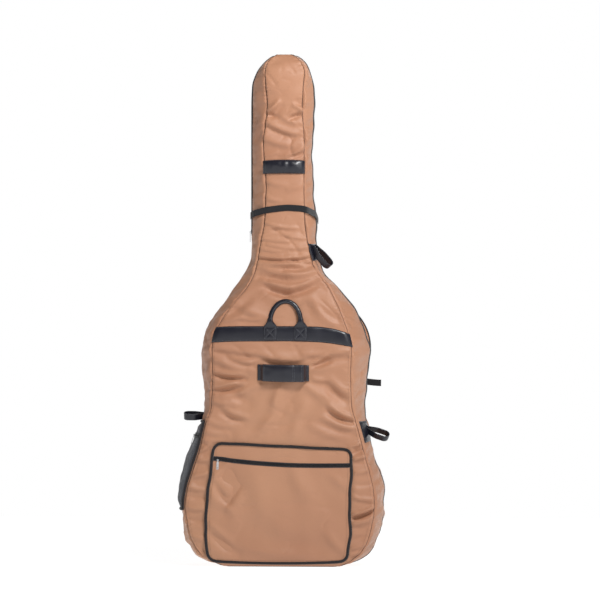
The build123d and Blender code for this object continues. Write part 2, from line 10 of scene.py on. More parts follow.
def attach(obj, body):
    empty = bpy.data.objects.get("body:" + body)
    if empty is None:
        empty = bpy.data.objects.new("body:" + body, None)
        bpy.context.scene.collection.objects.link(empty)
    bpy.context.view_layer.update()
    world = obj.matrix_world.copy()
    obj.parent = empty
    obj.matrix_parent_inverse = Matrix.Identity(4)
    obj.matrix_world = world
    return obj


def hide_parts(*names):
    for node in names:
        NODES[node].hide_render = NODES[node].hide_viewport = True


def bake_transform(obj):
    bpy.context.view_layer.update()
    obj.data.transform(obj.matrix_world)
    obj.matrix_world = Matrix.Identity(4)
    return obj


# Padded double-bass gig bag. Metres, +Z up, front of the bag towards -Y, floor at z = 0.
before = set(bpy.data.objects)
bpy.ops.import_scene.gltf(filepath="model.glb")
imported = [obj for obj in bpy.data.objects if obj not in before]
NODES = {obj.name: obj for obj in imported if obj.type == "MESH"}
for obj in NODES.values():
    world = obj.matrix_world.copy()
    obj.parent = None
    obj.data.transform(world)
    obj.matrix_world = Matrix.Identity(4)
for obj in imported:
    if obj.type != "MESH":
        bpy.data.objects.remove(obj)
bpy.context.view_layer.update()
TAU = 2 * math.pi


# ---------------------------------------------------------------- camera, floor and light

CAMERA_AZIMUTH = 4.0
CAMERA_DISTANCE = 14.0
FRAME_WIDTH = 2.236         # what the picture's width takes in at the zip plane
CAMERA_TARGET = (0.062, 0.0, 0.986)


def aimed(obj, target):
    obj.rotation_euler = (Vector(target) - obj.location).to_track_quat("-Z", "Y").to_euler()


def make_camera():
    data = bpy.data.cameras.new("camera")
    data.sensor_width = 36.0
    data.lens = 36.0 * CAMERA_DISTANCE / FRAME_WIDTH
    camera = bpy.data.objects.new("camera", data)
    bpy.context.scene.collection.objects.link(camera)
    angle = math.radians(CAMERA_AZIMUTH)
    back = Vector((math.sin(angle), -math.cos(angle), 0))
    camera.location = Vector(CAMERA_TARGET) + back * CAMERA_DISTANCE
    aimed(camera, CAMERA_TARGET)
    bpy.context.scene.camera = camera


def area_light(name, place, target, size, power):
    data = bpy.data.lights.new(name, "AREA")
    data.shape = "RECTANGLE"
    data.size, data.size_y = size
    data.energy = power
    light = bpy.data.objects.new(name, data)
    light.location = place
    bpy.context.scene.collection.objects.link(light)
    aimed(light, target)


def make_lights():
    area_light("key", (1.8, -2.9, 4.2), (0, 0, 1.0), (1.1, 1.0), 205)
    area_light("fill", (3.2, -3.8, 2.6), (0, 0, 1.1), (2.0, 2.4), 26)
    area_light("rear", (0.6, 4.4, 3.4), (0, 0, 0.9), (3.0, 2.4), 45)
    world = bpy.data.worlds.new("studio")
    world.use_nodes = True
    tree = world.node_tree
    background = tree.nodes["Background"]
    background.inputs["Color"].default_value = (1, 1, 1, 1)
    # white up to just above the horizon, dim overhead
    place = tree.nodes.new("ShaderNodeTexCoord")
    parts = tree.nodes.new("ShaderNodeSeparateXYZ")
    tree.links.new(place.outputs["Generated"], parts.inputs[0])
    spread = tree.nodes.new("ShaderNodeMapRange")
    for socket, value in (("From Min", 0.10), ("From Max", 0.15), ("To Min", 1.0), ("To Max", 0.12)):
        spread.inputs[socket].default_value = value
    tree.links.new(parts.outputs[2], spread.inputs["Value"])
    tree.links.new(spread.outputs[0], background.inputs["Strength"])
    bpy.context.scene.world = world
    bpy.context.scene.view_settings.view_transform = "Standard"


# ---------------------------------------------------------------- materials

class Look:
    """A procedural material. Patterns follow the object's own coordinates, in metres."""

    def __init__(self, name, color, roughness, **inputs):
        self.material = bpy.data.materials.new(name)
        self.material.use_nodes = True
        self.tree = self.material.node_tree
        self.shader = self.tree.nodes["Principled BSDF"]
        self.shader.inputs["Base Color"].default_value = (*color, 1)
        self.shader.inputs["Roughness"].default_value = roughness
        for socket, value in inputs.items():
            self.shader.inputs[socket.replace("_", " ")].default_value = value
        self.place = self.tree.nodes.new("ShaderNodeTexCoord").outputs["Object"]
        self.color = color
        self.heights = []

    def node(self, kind, **values):
        made = self.tree.nodes.new(kind)
        for key, value in values.items():
            setattr(made, key, value)
        return made

    def join(self, output, socket):
        self.tree.links.new(output, socket)

    def math(self, operation, a, b=None, c=None):
        made = self.node("ShaderNodeMath", operation=operation)
        for socket, value in zip(made.inputs, (a, b, c)):
            if value is None:
                continue
            if isinstance(value, (int, float)):
                socket.default_value = value
            else:
                self.join(value, socket)
        return made.outputs[0]

    def noise(self, scale, detail=3.0, place=None):
        made = self.node("ShaderNodeTexNoise")
        made.inputs["Scale"].default_value = scale
        made.inputs["Detail"].default_value = detail
        self.join(place or self.place, made.inputs["Vector"])
        return made.outputs["Fac"]

    def grain(self, scale):
        made = self.node("ShaderNodeTexVoronoi")
        made.inputs["Scale"].default_value = scale
        self.join(self.place, made.inputs["Vector"])
        return made.outputs["Distance"]

    def axes(self):
        """Across the cloth, the same on the front, the back and the sides, and up it."""
        parts = self.node("ShaderNodeSeparateXYZ")
        self.join(self.place, parts.inputs[0])
        return self.math("ADD", parts.outputs[0], parts.outputs[1]), parts.outputs[2]

    def threads(self, across, up, pitch):
        """A plain weave: one over, one under."""
        u = self.math("SINE", self.math("MULTIPLY", across, TAU / pitch))
        v = self.math("SINE", self.math("MULTIPLY", up, TAU / pitch))
        return self.math("MULTIPLY_ADD", self.math("MULTIPLY", u, v), 0.5, 0.5)

    def ribs(self, along, pitch):
        return self.math("SINE", self.math("MULTIPLY", along, TAU / pitch))

    def raise_by(self, height, metres):
        self.heights.append((height, metres))

    def tint(self, factor, low, high, other):
        """Mixes the base colour towards another one as factor goes from low to high."""
        spread = self.node("ShaderNodeMapRange")
        spread.inputs["From Min"].default_value = low
        spread.inputs["From Max"].default_value = high
        self.join(factor, spread.inputs["Value"])
        mix = self.node("ShaderNodeMix", data_type="RGBA")
        mix.inputs["A"].default_value = (*self.color, 1)
        mix.inputs["B"].default_value = (*other, 1)
        self.join(spread.outputs[0], mix.inputs["Factor"])
        socket = self.shader.inputs["Base Color"]
        if socket.is_linked:
            earlier = socket.links[0].from_socket
            self.tree.links.remove(socket.links[0])
            self.join(earlier, mix.inputs["A"])
        self.join(mix.outputs["Result"], socket)

    def polish(self, factor, low, high):
        """Roughness from low to high with the pattern."""
        spread = self.node("ShaderNodeMapRange")
        spread.inputs["From Min"].default_value = 0.3
        spread.inputs["From Max"].default_value = 0.7
        spread.inputs["To Min"].default_value = low
        spread.inputs["To Max"].default_value = high
        self.join(factor, spread.inputs["Value"])
        self.join(spread.outputs[0], self.shader.inputs["Roughness"])

    def done(self):
        below = None
        for height, metres in self.heights:
            bump = self.node("ShaderNodeBump")
            bump.inputs["Strength"].default_value = 1.0
            bump.inputs["Distance"].default_value = metres
            self.join(height, bump.inputs["Height"])
            if below:
                self.join(below, bump.inputs["Normal"])
            below = bump.outputs["Normal"]
        if below:
            self.join(below, self.shader.inputs["Normal"])
        return self.material


def woven(name, color, other, roughness, pitch, depth, sheen, crease=0.0004):
    look = Look(name, color, roughness, Sheen_Weight=sheen, Sheen_Roughness=0.45,
                Specular_IOR_Level=0.38)
    look.shader.inputs["Sheen Tint"].default_value = (1.0, 0.86, 0.78, 1)
    across, up = look.axes()
    look.tint(look.noise(2.3, 2.0), 0.35, 0.75, other)
    look.tint(look.noise(420.0, 2.0), 0.55, 0.95, [c * 0.8 for c in color])
    look.polish(look.noise(5.0), roughness - 0.06, roughness + 0.08)
    look.raise_by(look.noise(24.0, 5.0), crease * 2.2)
    look.raise_by(look.threads(across, up, pitch), depth)
    return look.done()


def leatherette(name, color, other, roughness):
    look = Look(name, color, roughness, Specular_IOR_Level=0.5, Coat_Weight=0.12,
                Coat_Roughness=0.30)
    look.tint(look.noise(9.0, 3.0), 0.45, 0.8, other)
    look.polish(look.noise(26.0), roughness - 0.02, roughness + 0.06)
    look.raise_by(look.grain(900.0), 0.00005)
    look.raise_by(look.noise(40.0, 2.0), 0.00015)
    return look.done()


def ribbed(name, color, other, roughness, pitch, depth, upright=True):
    look = Look(name, color, roughness, Sheen_Weight=0.15, Specular_IOR_Level=0.3)
    across, up = look.axes()
    look.tint(look.noise(300.0, 2.0), 0.5, 0.9, other)
    look.raise_by(look.ribs(across if upright else up, pitch), depth)
    look.raise_by(look.threads(across, up, pitch * 1.3), depth * 0.6)
    return look.done()


def perforated(name, color, hole, pitch):
    """Stretch mesh: rows of small open cells."""
    look = Look(name, color, 0.6, Sheen_Weight=0.3, Specular_IOR_Level=0.35)
    across, up = look.axes()
    wave_a = look.ribs(across, pitch)
    wave_b = look.ribs(up, pitch * 1.25)
    cells = look.math("MULTIPLY", wave_a, wave_b)
    look.tint(cells, -0.15, 0.35, hole)
    look.raise_by(cells, -0.0006)
    look.raise_by(look.noise(30.0), 0.0006)
    return look.done()


def metal(name, color, roughness):
    look = Look(name, color, roughness, Metallic=1.0)
    look.tint(look.noise(350.0, 4.0), 0.4, 0.8, [c * 0.7 for c in color])
    look.polish(look.noise(800.0, 3.0), roughness - 0.08, roughness + 0.12)
    look.raise_by(look.noise(1200.0, 2.0), 0.00005)
    return look.done()


def moulded(name, color, roughness):
    look = Look(name, color, roughness, Specular_IOR_Level=0.45)
    look.tint(look.noise(40.0, 3.0), 0.4, 0.8, [min(1, c * 1.5 + 0.003) for c in color])
    look.polish(look.noise(90.0), roughness - 0.05, roughness + 0.08)
    look.raise_by(look.noise(2200.0, 3.0), 0.00006)
    return look.done()


TAN = (0.440, 0.221, 0.127)
TAN_DEEP = (0.365, 0.170, 0.098)
M_NYLON = woven("nylon_tan", TAN, TAN_DEEP, 0.47, 0.0016, 0.00010, 0.12)
M_LEATHER = leatherette("leatherette_black", (0.0070, 0.0072, 0.0135), (0.011, 0.0115, 0.0200), 0.30)
M_WEBBING = ribbed("webbing_black", (0.007, 0.007, 0.009), (0.015, 0.015, 0.018), 0.65, 0.0022, 0.0003)
M_BINDING = ribbed("binding_black", (0.011, 0.008, 0.009), (0.022, 0.018, 0.020), 0.55, 0.0011, 0.00018)
M_MESH = perforated("mesh_grey", (0.062, 0.066, 0.085), (0.014, 0.014, 0.020), 0.0034)
M_SLATE = woven("slate_cloth", (0.070, 0.075, 0.098), (0.05, 0.052, 0.07), 0.55, 0.0014, 0.0001, 0.2)
M_LINING = woven("lining_charcoal", (0.045, 0.044, 0.048), (0.032, 0.031, 0.035), 0.62, 0.0018, 0.00012, 0.25)
M_TAPE = ribbed("zip_tape_black", (0.010, 0.009, 0.011), (0.020, 0.018, 0.021), 0.6, 0.0012, 0.00015)
M_COIL = moulded("zip_coil_black", (0.014, 0.013, 0.015), 0.38)
M_METAL = metal("slider_nickel", (0.62, 0.62, 0.64), 0.3)
M_PLASTIC = moulded("buckle_black", (0.012, 0.012, 0.013), 0.42)
M_THREAD = ribbed("thread_tan", (0.22, 0.105, 0.060), (0.16, 0.075, 0.04), 0.6, 0.0006, 0.00008)
M_THREAD_DARK = ribbed("thread_grey", (0.14, 0.145, 0.17), (0.09, 0.09, 0.11), 0.5, 0.0006, 0.00008)


# painted shade: a dark brown that stands for the shadow in the seams' grooves
M_SEAM_SHADE = ribbed("seam_shadow_brown", (0.085, 0.040, 0.024), (0.05, 0.024, 0.014), 0.75, 0.0008, 0.0001)


def make_floor():
    look = Look("floor_pale", (0.22, 0.22, 0.22), 0.85, Emission_Strength=0.92)
    look.shader.inputs["Emission Color"].default_value = (1, 1, 1, 1)
    look.tint(look.noise(3.0), 0.3, 0.8, (0.20, 0.20, 0.20))
    mesh = bpy.data.meshes.new("floor")
    half = 3.0
    mesh.from_pydata([(-half, -half, 0), (half, -half, 0),
                      (half, half, 0), (-half, half, 0)], [], [(0, 1, 2, 3)])
    floor = bpy.data.objects.new("floor", mesh)
    mesh.materials.append(look.done())
    bpy.context.scene.collection.objects.link(floor)


# ---------------------------------------------------------------- mesh helpers

def new_piece(name, verts, faces, material, smooth=True, weld=False):
    mesh = bpy.data.meshes.new(name)
    mesh.from_pydata([tuple(v) for v in verts], [], [tuple(f) for f in faces])
    if weld:
        work = bmesh.new()
        work.from_mesh(mesh)
        bmesh.ops.remove_doubles(work, verts=work.verts, dist=2e-5)
        bmesh.ops.dissolve_degenerate(work, edges=work.edges, dist=1e-6)
        work.to_mesh(mesh)
        work.free()
    mesh.materials.append(material)
    mesh.polygons.foreach_set("use_smooth", [smooth] * len(mesh.polygons))
    mesh.update()
    obj = bpy.data.objects.new(name, mesh)
    bpy.context.scene.collection.objects.link(obj)
    return obj


def grid_faces(rows, cols, wrap=False, flip=False, start=0):
    index = np.arange(rows * cols).reshape(rows, cols) + start
    if wrap:
        index = np.concatenate([index, index[:, :1]], axis=1)
    a, b, c, d = index[:-1, :-1], index[:-1, 1:], index[1:, 1:], index[1:, :-1]
    quads = np.stack([a, b, c, d], axis=-1).reshape(-1, 4)
    return (quads[:, ::-1] if flip else quads).tolist()


def grid_piece(name, points, material, flip=False, wrap=False, weld=False):
    rows, cols = points.shape[:2]
    return new_piece(name, points.reshape(-1, 3), grid_faces(rows, cols, wrap, flip), material, weld=weld)


def many(name, parts, material, smooth=True):
    """One piece from several (vertices, faces) parts."""
    verts, faces, start = [], [], 0
    for part_verts, part_faces in parts:
        part_verts = np.asarray(part_verts, float).reshape(-1, 3)
        verts.append(part_verts)
        faces += [[i + start for i in face] for face in part_faces]
        start += len(part_verts)
    return new_piece(name, np.concatenate(verts), faces, material, smooth)


def unit(v):
    size = np.linalg.norm(v, axis=-1, keepdims=True)
    return v / np.maximum(size, 1e-12)


def tangents(path, closed=False):
    if closed:
        return unit(np.roll(path, -1, axis=0) - np.roll(path, 1, axis=0))
    return unit(np.gradient(path, axis=0))


def resample(path, count, closed=False):
    path = np.asarray(path, float)
    if closed:
        path = np.concatenate([path, path[:1]])
    run = np.concatenate([[0], np.cumsum(np.linalg.norm(np.diff(path, axis=0), axis=1))])
    at = np.linspace(0, run[-1], count + 1)[:-1] if closed else np.linspace(0, run[-1], count)
    return np.stack([np.interp(at, run, path[:, k]) for k in range(3)], axis=1)


def length_of(path):
    return float(np.linalg.norm(np.diff(path, axis=0), axis=1).sum())


def swept(path, up, section, closed=False, scale=None):
    """Vertices and faces of a closed section carried along a path; up is each point's outward way."""
    path, up = np.asarray(path, float), np.asarray(up, float)
    along = tangents(path, closed)
    side = unit(np.cross(along, up))
    up = unit(np.cross(side, along))
    section = np.asarray(section, float)
    size = np.ones(len(path)) if scale is None else np.asarray(scale)
    rings = (path[:, None] + side[:, None] * (section[None, :, :1] * size[:, None, None])
             + up[:, None] * (section[None, :, 1:] * size[:, None, None]))
    rows, cols = rings.shape[:2]
    if closed:
        rings = np.concatenate([rings, rings[:1]])
        faces = grid_faces(rows, cols, wrap=True)
        last = (rows - 1) * cols
        for j in range(cols):
            k = (j + 1) % cols
            faces.append([last + j, last + k, k, j])
        return rings[:-1].reshape(-1, 3), faces
    faces = grid_faces(rows, cols, wrap=True)
    faces.append(list(range(cols))[::-1])
    faces.append([(rows - 1) * cols + j for j in range(cols)])
    return rings.reshape(-1, 3), faces


def round_section(width, height, sides=10, power=2.0):
    """A closed oval or rounded-box section; a higher power is squarer."""
    turn = np.arange(sides) / sides * TAU + TAU / sides / 2
    c, s = np.cos(turn), np.sin(turn)
    shape = np.stack([np.sign(c) * abs(c) ** (2 / power), np.sign(s) * abs(s) ** (2 / power)], axis=1)
    return shape * (width / 2, height / 2)


STITCH = (0.0034, 0.0009, 0.0007)        # a stitch's length, width and height
FORWARD, BACKWARD = (0, -1.0, 0), (0, 1.0, 0)


def along_all(way, path):
    """The same direction at every point of a path."""
    return np.broadcast_to(way, path.shape)


def shares(rows, cols, start=0):
    """Shares across and up a grid: across from start to 1, up from 0 to 1."""
    across = np.linspace(start, 1, cols)[None] * np.ones((rows, 1))
    return across, np.linspace(0, 1, rows)[:, None] * np.ones((1, cols))


def dashes(path, up, pitch, size, lift=0.0):
    """Stitches along a line: parts for many()."""
    path = np.asarray(path, float)
    total = length_of(path)
    count = max(2, int(total / pitch))
    spots = resample(path, 2 * count + 1)
    ups = unit(resample(up, 2 * count + 1))
    along = tangents(spots)
    side = unit(np.cross(along, ups))
    length, width, height = size
    parts = []
    for i in range(1, 2 * count, 2):
        centre = spots[i] + ups[i] * lift
        ring = []
        for t, grow in ((-0.5, 0.25), (-0.3, 1.0), (0.3, 1.0), (0.5, 0.25)):
            for a in range(5):
                turn = a / 5 * TAU
                ring.append(centre + along[i] * t * length + side[i] * math.cos(turn) * width / 2 * grow
                            + ups[i] * math.sin(turn) * height / 2 * grow)
        faces = grid_faces(4, 5, wrap=True) + [[4, 3, 2, 1, 0], [15, 16, 17, 18, 19]]
        parts.append((ring, faces))
    return parts


def smooth_step(t):
    t = np.clip(t, 0, 1)
    return t * t * (3 - 2 * t)


def monotone(xs, ys, x):
    """Smooth curve through points that never overshoots them."""
    xs, ys, x = np.asarray(xs, float), np.asarray(ys, float), np.asarray(x, float)
    step = np.diff(xs)
    rise = np.diff(ys) / step
    slope = np.zeros_like(ys)
    slope[0], slope[-1] = rise[0], rise[-1]
    for i in range(1, len(xs) - 1):
        if rise[i - 1] * rise[i] > 0:
            w1, w2 = 2 * step[i] + step[i - 1], step[i] + 2 * step[i - 1]
            slope[i] = (w1 + w2) / (w1 / rise[i - 1] + w2 / rise[i])
    i = np.clip(np.searchsorted(xs, x) - 1, 0, len(xs) - 2)
    t = np.clip((x - xs[i]) / step[i], 0, 1)
    t2, t3 = t * t, t * t * t
    return ((2 * t3 - 3 * t2 + 1) * ys[i] + (t3 - 2 * t2 + t) * step[i] * slope[i]
            + (3 * t2 - 2 * t3) * ys[i + 1] + (t3 - t2) * step[i] * slope[i + 1])


def ripple(a, b, scale, seed, count=7):
    """Soft irregular waves over two coordinates, about -1 to 1, the same each run."""
    rng = np.random.default_rng(seed)
    total = 0
    for _ in range(count):
        angle, size = rng.uniform(0, TAU), rng.uniform(0.6, 1.6) / scale
        total = total + np.sin((a * math.cos(angle) + b * math.sin(angle)) * size * TAU + rng.uniform(0, TAU))
    return total / count * 1.8


# ---------------------------------------------------------------- the bag's outline

# Height, zip line left and right, front seam left and right, depth of the front and of the back.
STATIONS = np.array([
    (3, -225, 232, -212, 218, 132, 132), (24, -284, 288, -262, 262, 140, 138),
    (50, -330, 323, -300, 296, 140, 140), (95, -357, 345, -330, 322, 140, 140),
    (150, -366, 363, -346, 338, 140, 140), (220, -373, 374, -355, 348, 140, 140),
    (290, -377, 375, -345, 344, 140, 140), (360, -361, 354, -324, 327, 140, 140),
    (440, -331, 328, -298, 306, 140, 140), (520, -296, 314, -280, 284, 140, 140),
    (600, -290, 303, -258, 264, 140, 140), (700, -300, 314, -254, 260, 140, 140),
    (800, -305, 322, -256, 263, 140, 140), (860, -292, 308, -246, 252, 138, 140),
    (920, -261, 283, -216, 230, 131, 138), (980, -220, 246, -173, 204, 120, 130),
    (1040, -176, 196, -125, 172, 106, 116), (1100, -136, 142, -98, 126, 94, 98),
    (1180, -117, 125, -82, 102, 87, 84), (1290, -117, 121, -64, 87, 84, 80),
    (1420, -117, 110, -60, 84, 82, 78), (1560, -117, 107, -70, 85, 80, 76),
    (1700, -117, 117, -55, 78, 82, 76), (1780, -114, 112, -60, 82, 84, 76),
    (1830, -98, 100, -64, 86, 80, 72), (1862, -76, 87, -58, 76, 70, 62),
    (1886, -50, 64, -40, 56, 54, 50), (1898, -26, 38, -20, 32, 40, 38),
]) / 1000
FLOOR_Z, TOP_Z = STATIONS[0, 0], STATIONS[-1, 0]
ZIP_EDGE = 0.009
WALL = 0.022
HINGE_Z = (0.200, 1.226)

# How far the padded front and back panels stand out at their middles, by height.
CROWN = np.array([(0.003, 1), (0.05, 5), (0.15, 9), (0.30, 11), (0.45, 11), (0.60, 10), (0.72, 8), (0.80, 8),
                  (0.86, 5), (0.91, 6), (1.00, 10), (1.10, 9), (1.20, 7), (1.35, 6), (1.48, 5), (1.60, 7),
                  (1.75, 8), (1.86, 5), (1.898, 1)])


def outline(z, column):
    """One of the stations' columns at any height; the zip lines waver a little, as sewn cloth does."""
    value = monotone(STATIONS[:, 0], STATIONS[:, column], z)
    if column in (1, 2):
        calm = smooth_step((z - 0.02) / 0.1) * smooth_step((1.83 - z) / 0.1)
        if column == 1:
            calm = calm * smooth_step((1.20 - z) / 0.08)
        value = value + 0.0020 * calm * (np.sin(z * 39 + column) + 0.6 * np.sin(z * 83 + 2 * column))
    return value


def seams(z, half):
    """Left seam, right seam and depth of one half; half is -1 in front and 1 behind."""
    left, right = outline(z, 3), outline(z, 4)
    if half < 0:
        return left, right, outline(z, 5)
    return -(right - left) / 2, (right - left) / 2, outline(z, 6)


def crown(z):
    return monotone(CROWN[:, 0], CROWN[:, 1], z) / 1000


def end_fade(z):
    return (1 - np.exp(-(z - FLOOR_Z) / 0.014)) * (1 - np.exp(-(TOP_Z + 0.002 - z) / 0.02))


PUFF = 0.0055


def panel_bulge(x, z, half):
    """How far a panel stands out beyond its seams."""
    left, right, _ = seams(z, half)
    x = np.clip(x, left, right)
    s = (x - (left + right) / 2) / ((right - left) / 2)
    edge = np.minimum(x - left, right - x)
    share = 1.0 if half < 0 else 0.55
    return end_fade(z) * PUFF * (1 - np.exp(-edge / 0.009)) + share * crown(z) * (1 - s * s) ** 0.9


def panel_y(x, z, half=-1):
    _, _, depth = seams(z, half)
    return half * (depth + panel_bulge(x, z, half))


def row_heights(count):
    """Heights at even steps along the outline, so that the round corners get enough rows."""
    fine = np.linspace(FLOOR_Z, TOP_Z, 4000)
    slope = np.gradient(outline(fine, 2) - outline(fine, 1), fine) / 2
    run = np.concatenate([[0], np.cumsum(np.sqrt(1 + slope[1:] ** 2) * np.diff(fine))])
    return np.interp(np.linspace(0, run[-1], count), run, fine)


def gusset_points(z, side, half, t, inset=0.0):
    """Points of a side wall; t runs from 0 at the zip to 1 at the seam."""
    zip_x = outline(z, 2 if side > 0 else 1)
    left, right, depth = seams(z, half)
    seam_x = (right if side > 0 else left)
    ax, ay = zip_x - side * inset, np.full_like(z, half * ZIP_EDGE)
    bx, by = seam_x - side * inset, half * (depth - inset)
    dx, dy = bx - ax, by - ay
    size = np.hypot(dx, dy)
    nx = side * np.abs(dy) / size
    ny = -dx * np.sign(dy) * side / size
    t = t[None, :]
    x = ax[:, None] + dx[:, None] * t
    y = ay[:, None] + dy[:, None] * t
    if inset == 0:
        near_seam, near_zip = (1 - t) * size[:, None], t * size[:, None]
        swell = 0.005 * np.clip(size[:, None] / 0.13, 0.4, 1) * 4 * t * (1 - t)
        bulge = (PUFF * (1 - np.exp(-near_seam / 0.009)) * (1 - np.exp(-near_zip / 0.03)) + swell)
        bulge = bulge * end_fade(z)[:, None]
        x, y = x + nx[:, None] * bulge, y + ny[:, None] * bulge
    return np.stack([x, y, np.broadcast_to(z[:, None], x.shape)], axis=-1)


def half_grid(half, rows, n_side, n_panel, n_cap, inset=0.0):
    """One padded half as a grid: its rows run from under the base to over the top."""
    z = row_heights(rows)
    if inset:
        z = np.linspace(FLOOR_Z + inset, TOP_Z - inset - 0.004, rows)
    tau = np.linspace(0, 1, n_side + 1)
    t = 1 - (1 - tau) ** 1.35
    sigma = np.linspace(-1, 1, n_panel + 1)
    s = 0.5 * sigma + 0.5 * np.sin(sigma * math.pi / 2)
    left_wall = gusset_points(z, -1, half, t, inset)
    right_wall = gusset_points(z, 1, half, t[::-1], inset)
    a, b = left_wall[:, -1], right_wall[:, 0]
    x = a[:, :1] + (b[:, :1] - a[:, :1]) * (s[None, 1:-1] + 1) / 2
    zz = np.broadcast_to(z[:, None], x.shape)
    _, _, depth = seams(z, half)
    if inset:
        y = np.broadcast_to(half * (depth - inset)[:, None], x.shape)
    else:
        y = panel_y(x, zz, half)
    wall = np.concatenate([left_wall, np.stack([x, y, zz], axis=-1), right_wall], axis=1)
    rim = half * ZIP_EDGE
    share = 1 - np.linspace(0, 1, n_cap + 1)[1:]
    base, top = [], []
    for k, left_over in enumerate(share):
        for rows_of, edge, lift in ((base, wall[0], 0.0), (top, wall[-1], 0.0025)):
            ring = edge.copy()
            ring[:, 1] = rim + (ring[:, 1] - rim) * left_over
            ring[:, 2] += lift * math.sin((1 - left_over) * math.pi / 2)
            rows_of.append(ring)
    base.reverse()
    return np.concatenate([np.array(base), wall, np.array(top)])


def grid_normals(points, half):
    across, up = np.gradient(points, axis=1), np.gradient(points, axis=0)
    normal = np.cross(across, up) * -half
    size = np.linalg.norm(normal, axis=-1)
    normal[size < 1e-10] = (0, half, 0)
    return unit(normal)


# ---------------------------------------------------------------- where the cloth is held down

POCKET_LEFT = np.array([(0.020, -0.266), (0.120, -0.277), (0.457, -0.246)])
POCKET_RIGHT = np.array([(0.020, 0.242), (0.120, 0.255), (0.436, 0.260)])
POCKET_R = 0.030
BAND_TOP = np.array([(-0.260, 0.886), (-0.15, 0.8895), (0.01, 0.8895), (0.13, 0.888), (0.185, 0.882),
                     (0.225, 0.872), (0.27, 0.855)])
BAND_LOW = np.array([(-0.270, 0.828), (-0.15, 0.833), (0.01, 0.834), (0.13, 0.831), (0.185, 0.826),
                     (0.225, 0.820), (0.27, 0.811)])
GRAB_X, GRAB_Z = (-0.084, 0.106), (0.688, 0.747)
PAD_X, PAD_Z = (-0.070, 0.086), (1.452, 1.504)
STRAP_ARCH = np.array([(-0.12, 1.302), (-0.07, 1.318), (0.0, 1.327),
                       (0.06, 1.321), (0.10, 1.305), (0.13, 1.296)])


def boxed(x, z, x_range, z_range, soft):
    """1 inside a rectangle, falling to 0 over a soft border."""
    dx = np.maximum(np.maximum(x_range[0] - x, x - x_range[1]), 0)
    dz = np.maximum(np.maximum(z_range[0] - z, z - z_range[1]), 0)
    return 1 - smooth_step(np.hypot(dx, dz) / soft)


def held_on_front(x, z, soft=0.02):
    """1 where something is sewn on the front panel, which keeps the cloth flat there."""
    low, high = monotone(*BAND_LOW.T, x), monotone(*BAND_TOP.T, x)
    off_band = np.maximum(np.maximum(low - z, z - high), 0)
    band = 1 - smooth_step(off_band / soft)
    left, right = np.interp(z, *POCKET_LEFT.T), np.interp(z, *POCKET_RIGHT.T)
    top = 0.452 - 0.019 * (x + 0.25) / 0.507
    off_pocket = np.hypot(np.maximum(np.maximum(left - x, x - right), 0), np.maximum(z - top, 0))
    pocket = 1 - smooth_step(off_pocket / soft)
    arch = monotone(*STRAP_ARCH.T, x)
    strap = 1 - smooth_step(np.maximum(abs(z - arch) - 0.012, 0) / soft)
    tabs = np.maximum(boxed(x, z, (GRAB_X[0], GRAB_X[0] + 0.025), GRAB_Z, soft),
                      boxed(x, z, (GRAB_X[1] - 0.025, GRAB_X[1]), GRAB_Z, soft))
    pad = boxed(x, z, PAD_X, PAD_Z, soft)
    return np.max([band, pocket, 0.8 * strap, tabs, pad], axis=0)


# ---------------------------------------------------------------- folds in the front panel

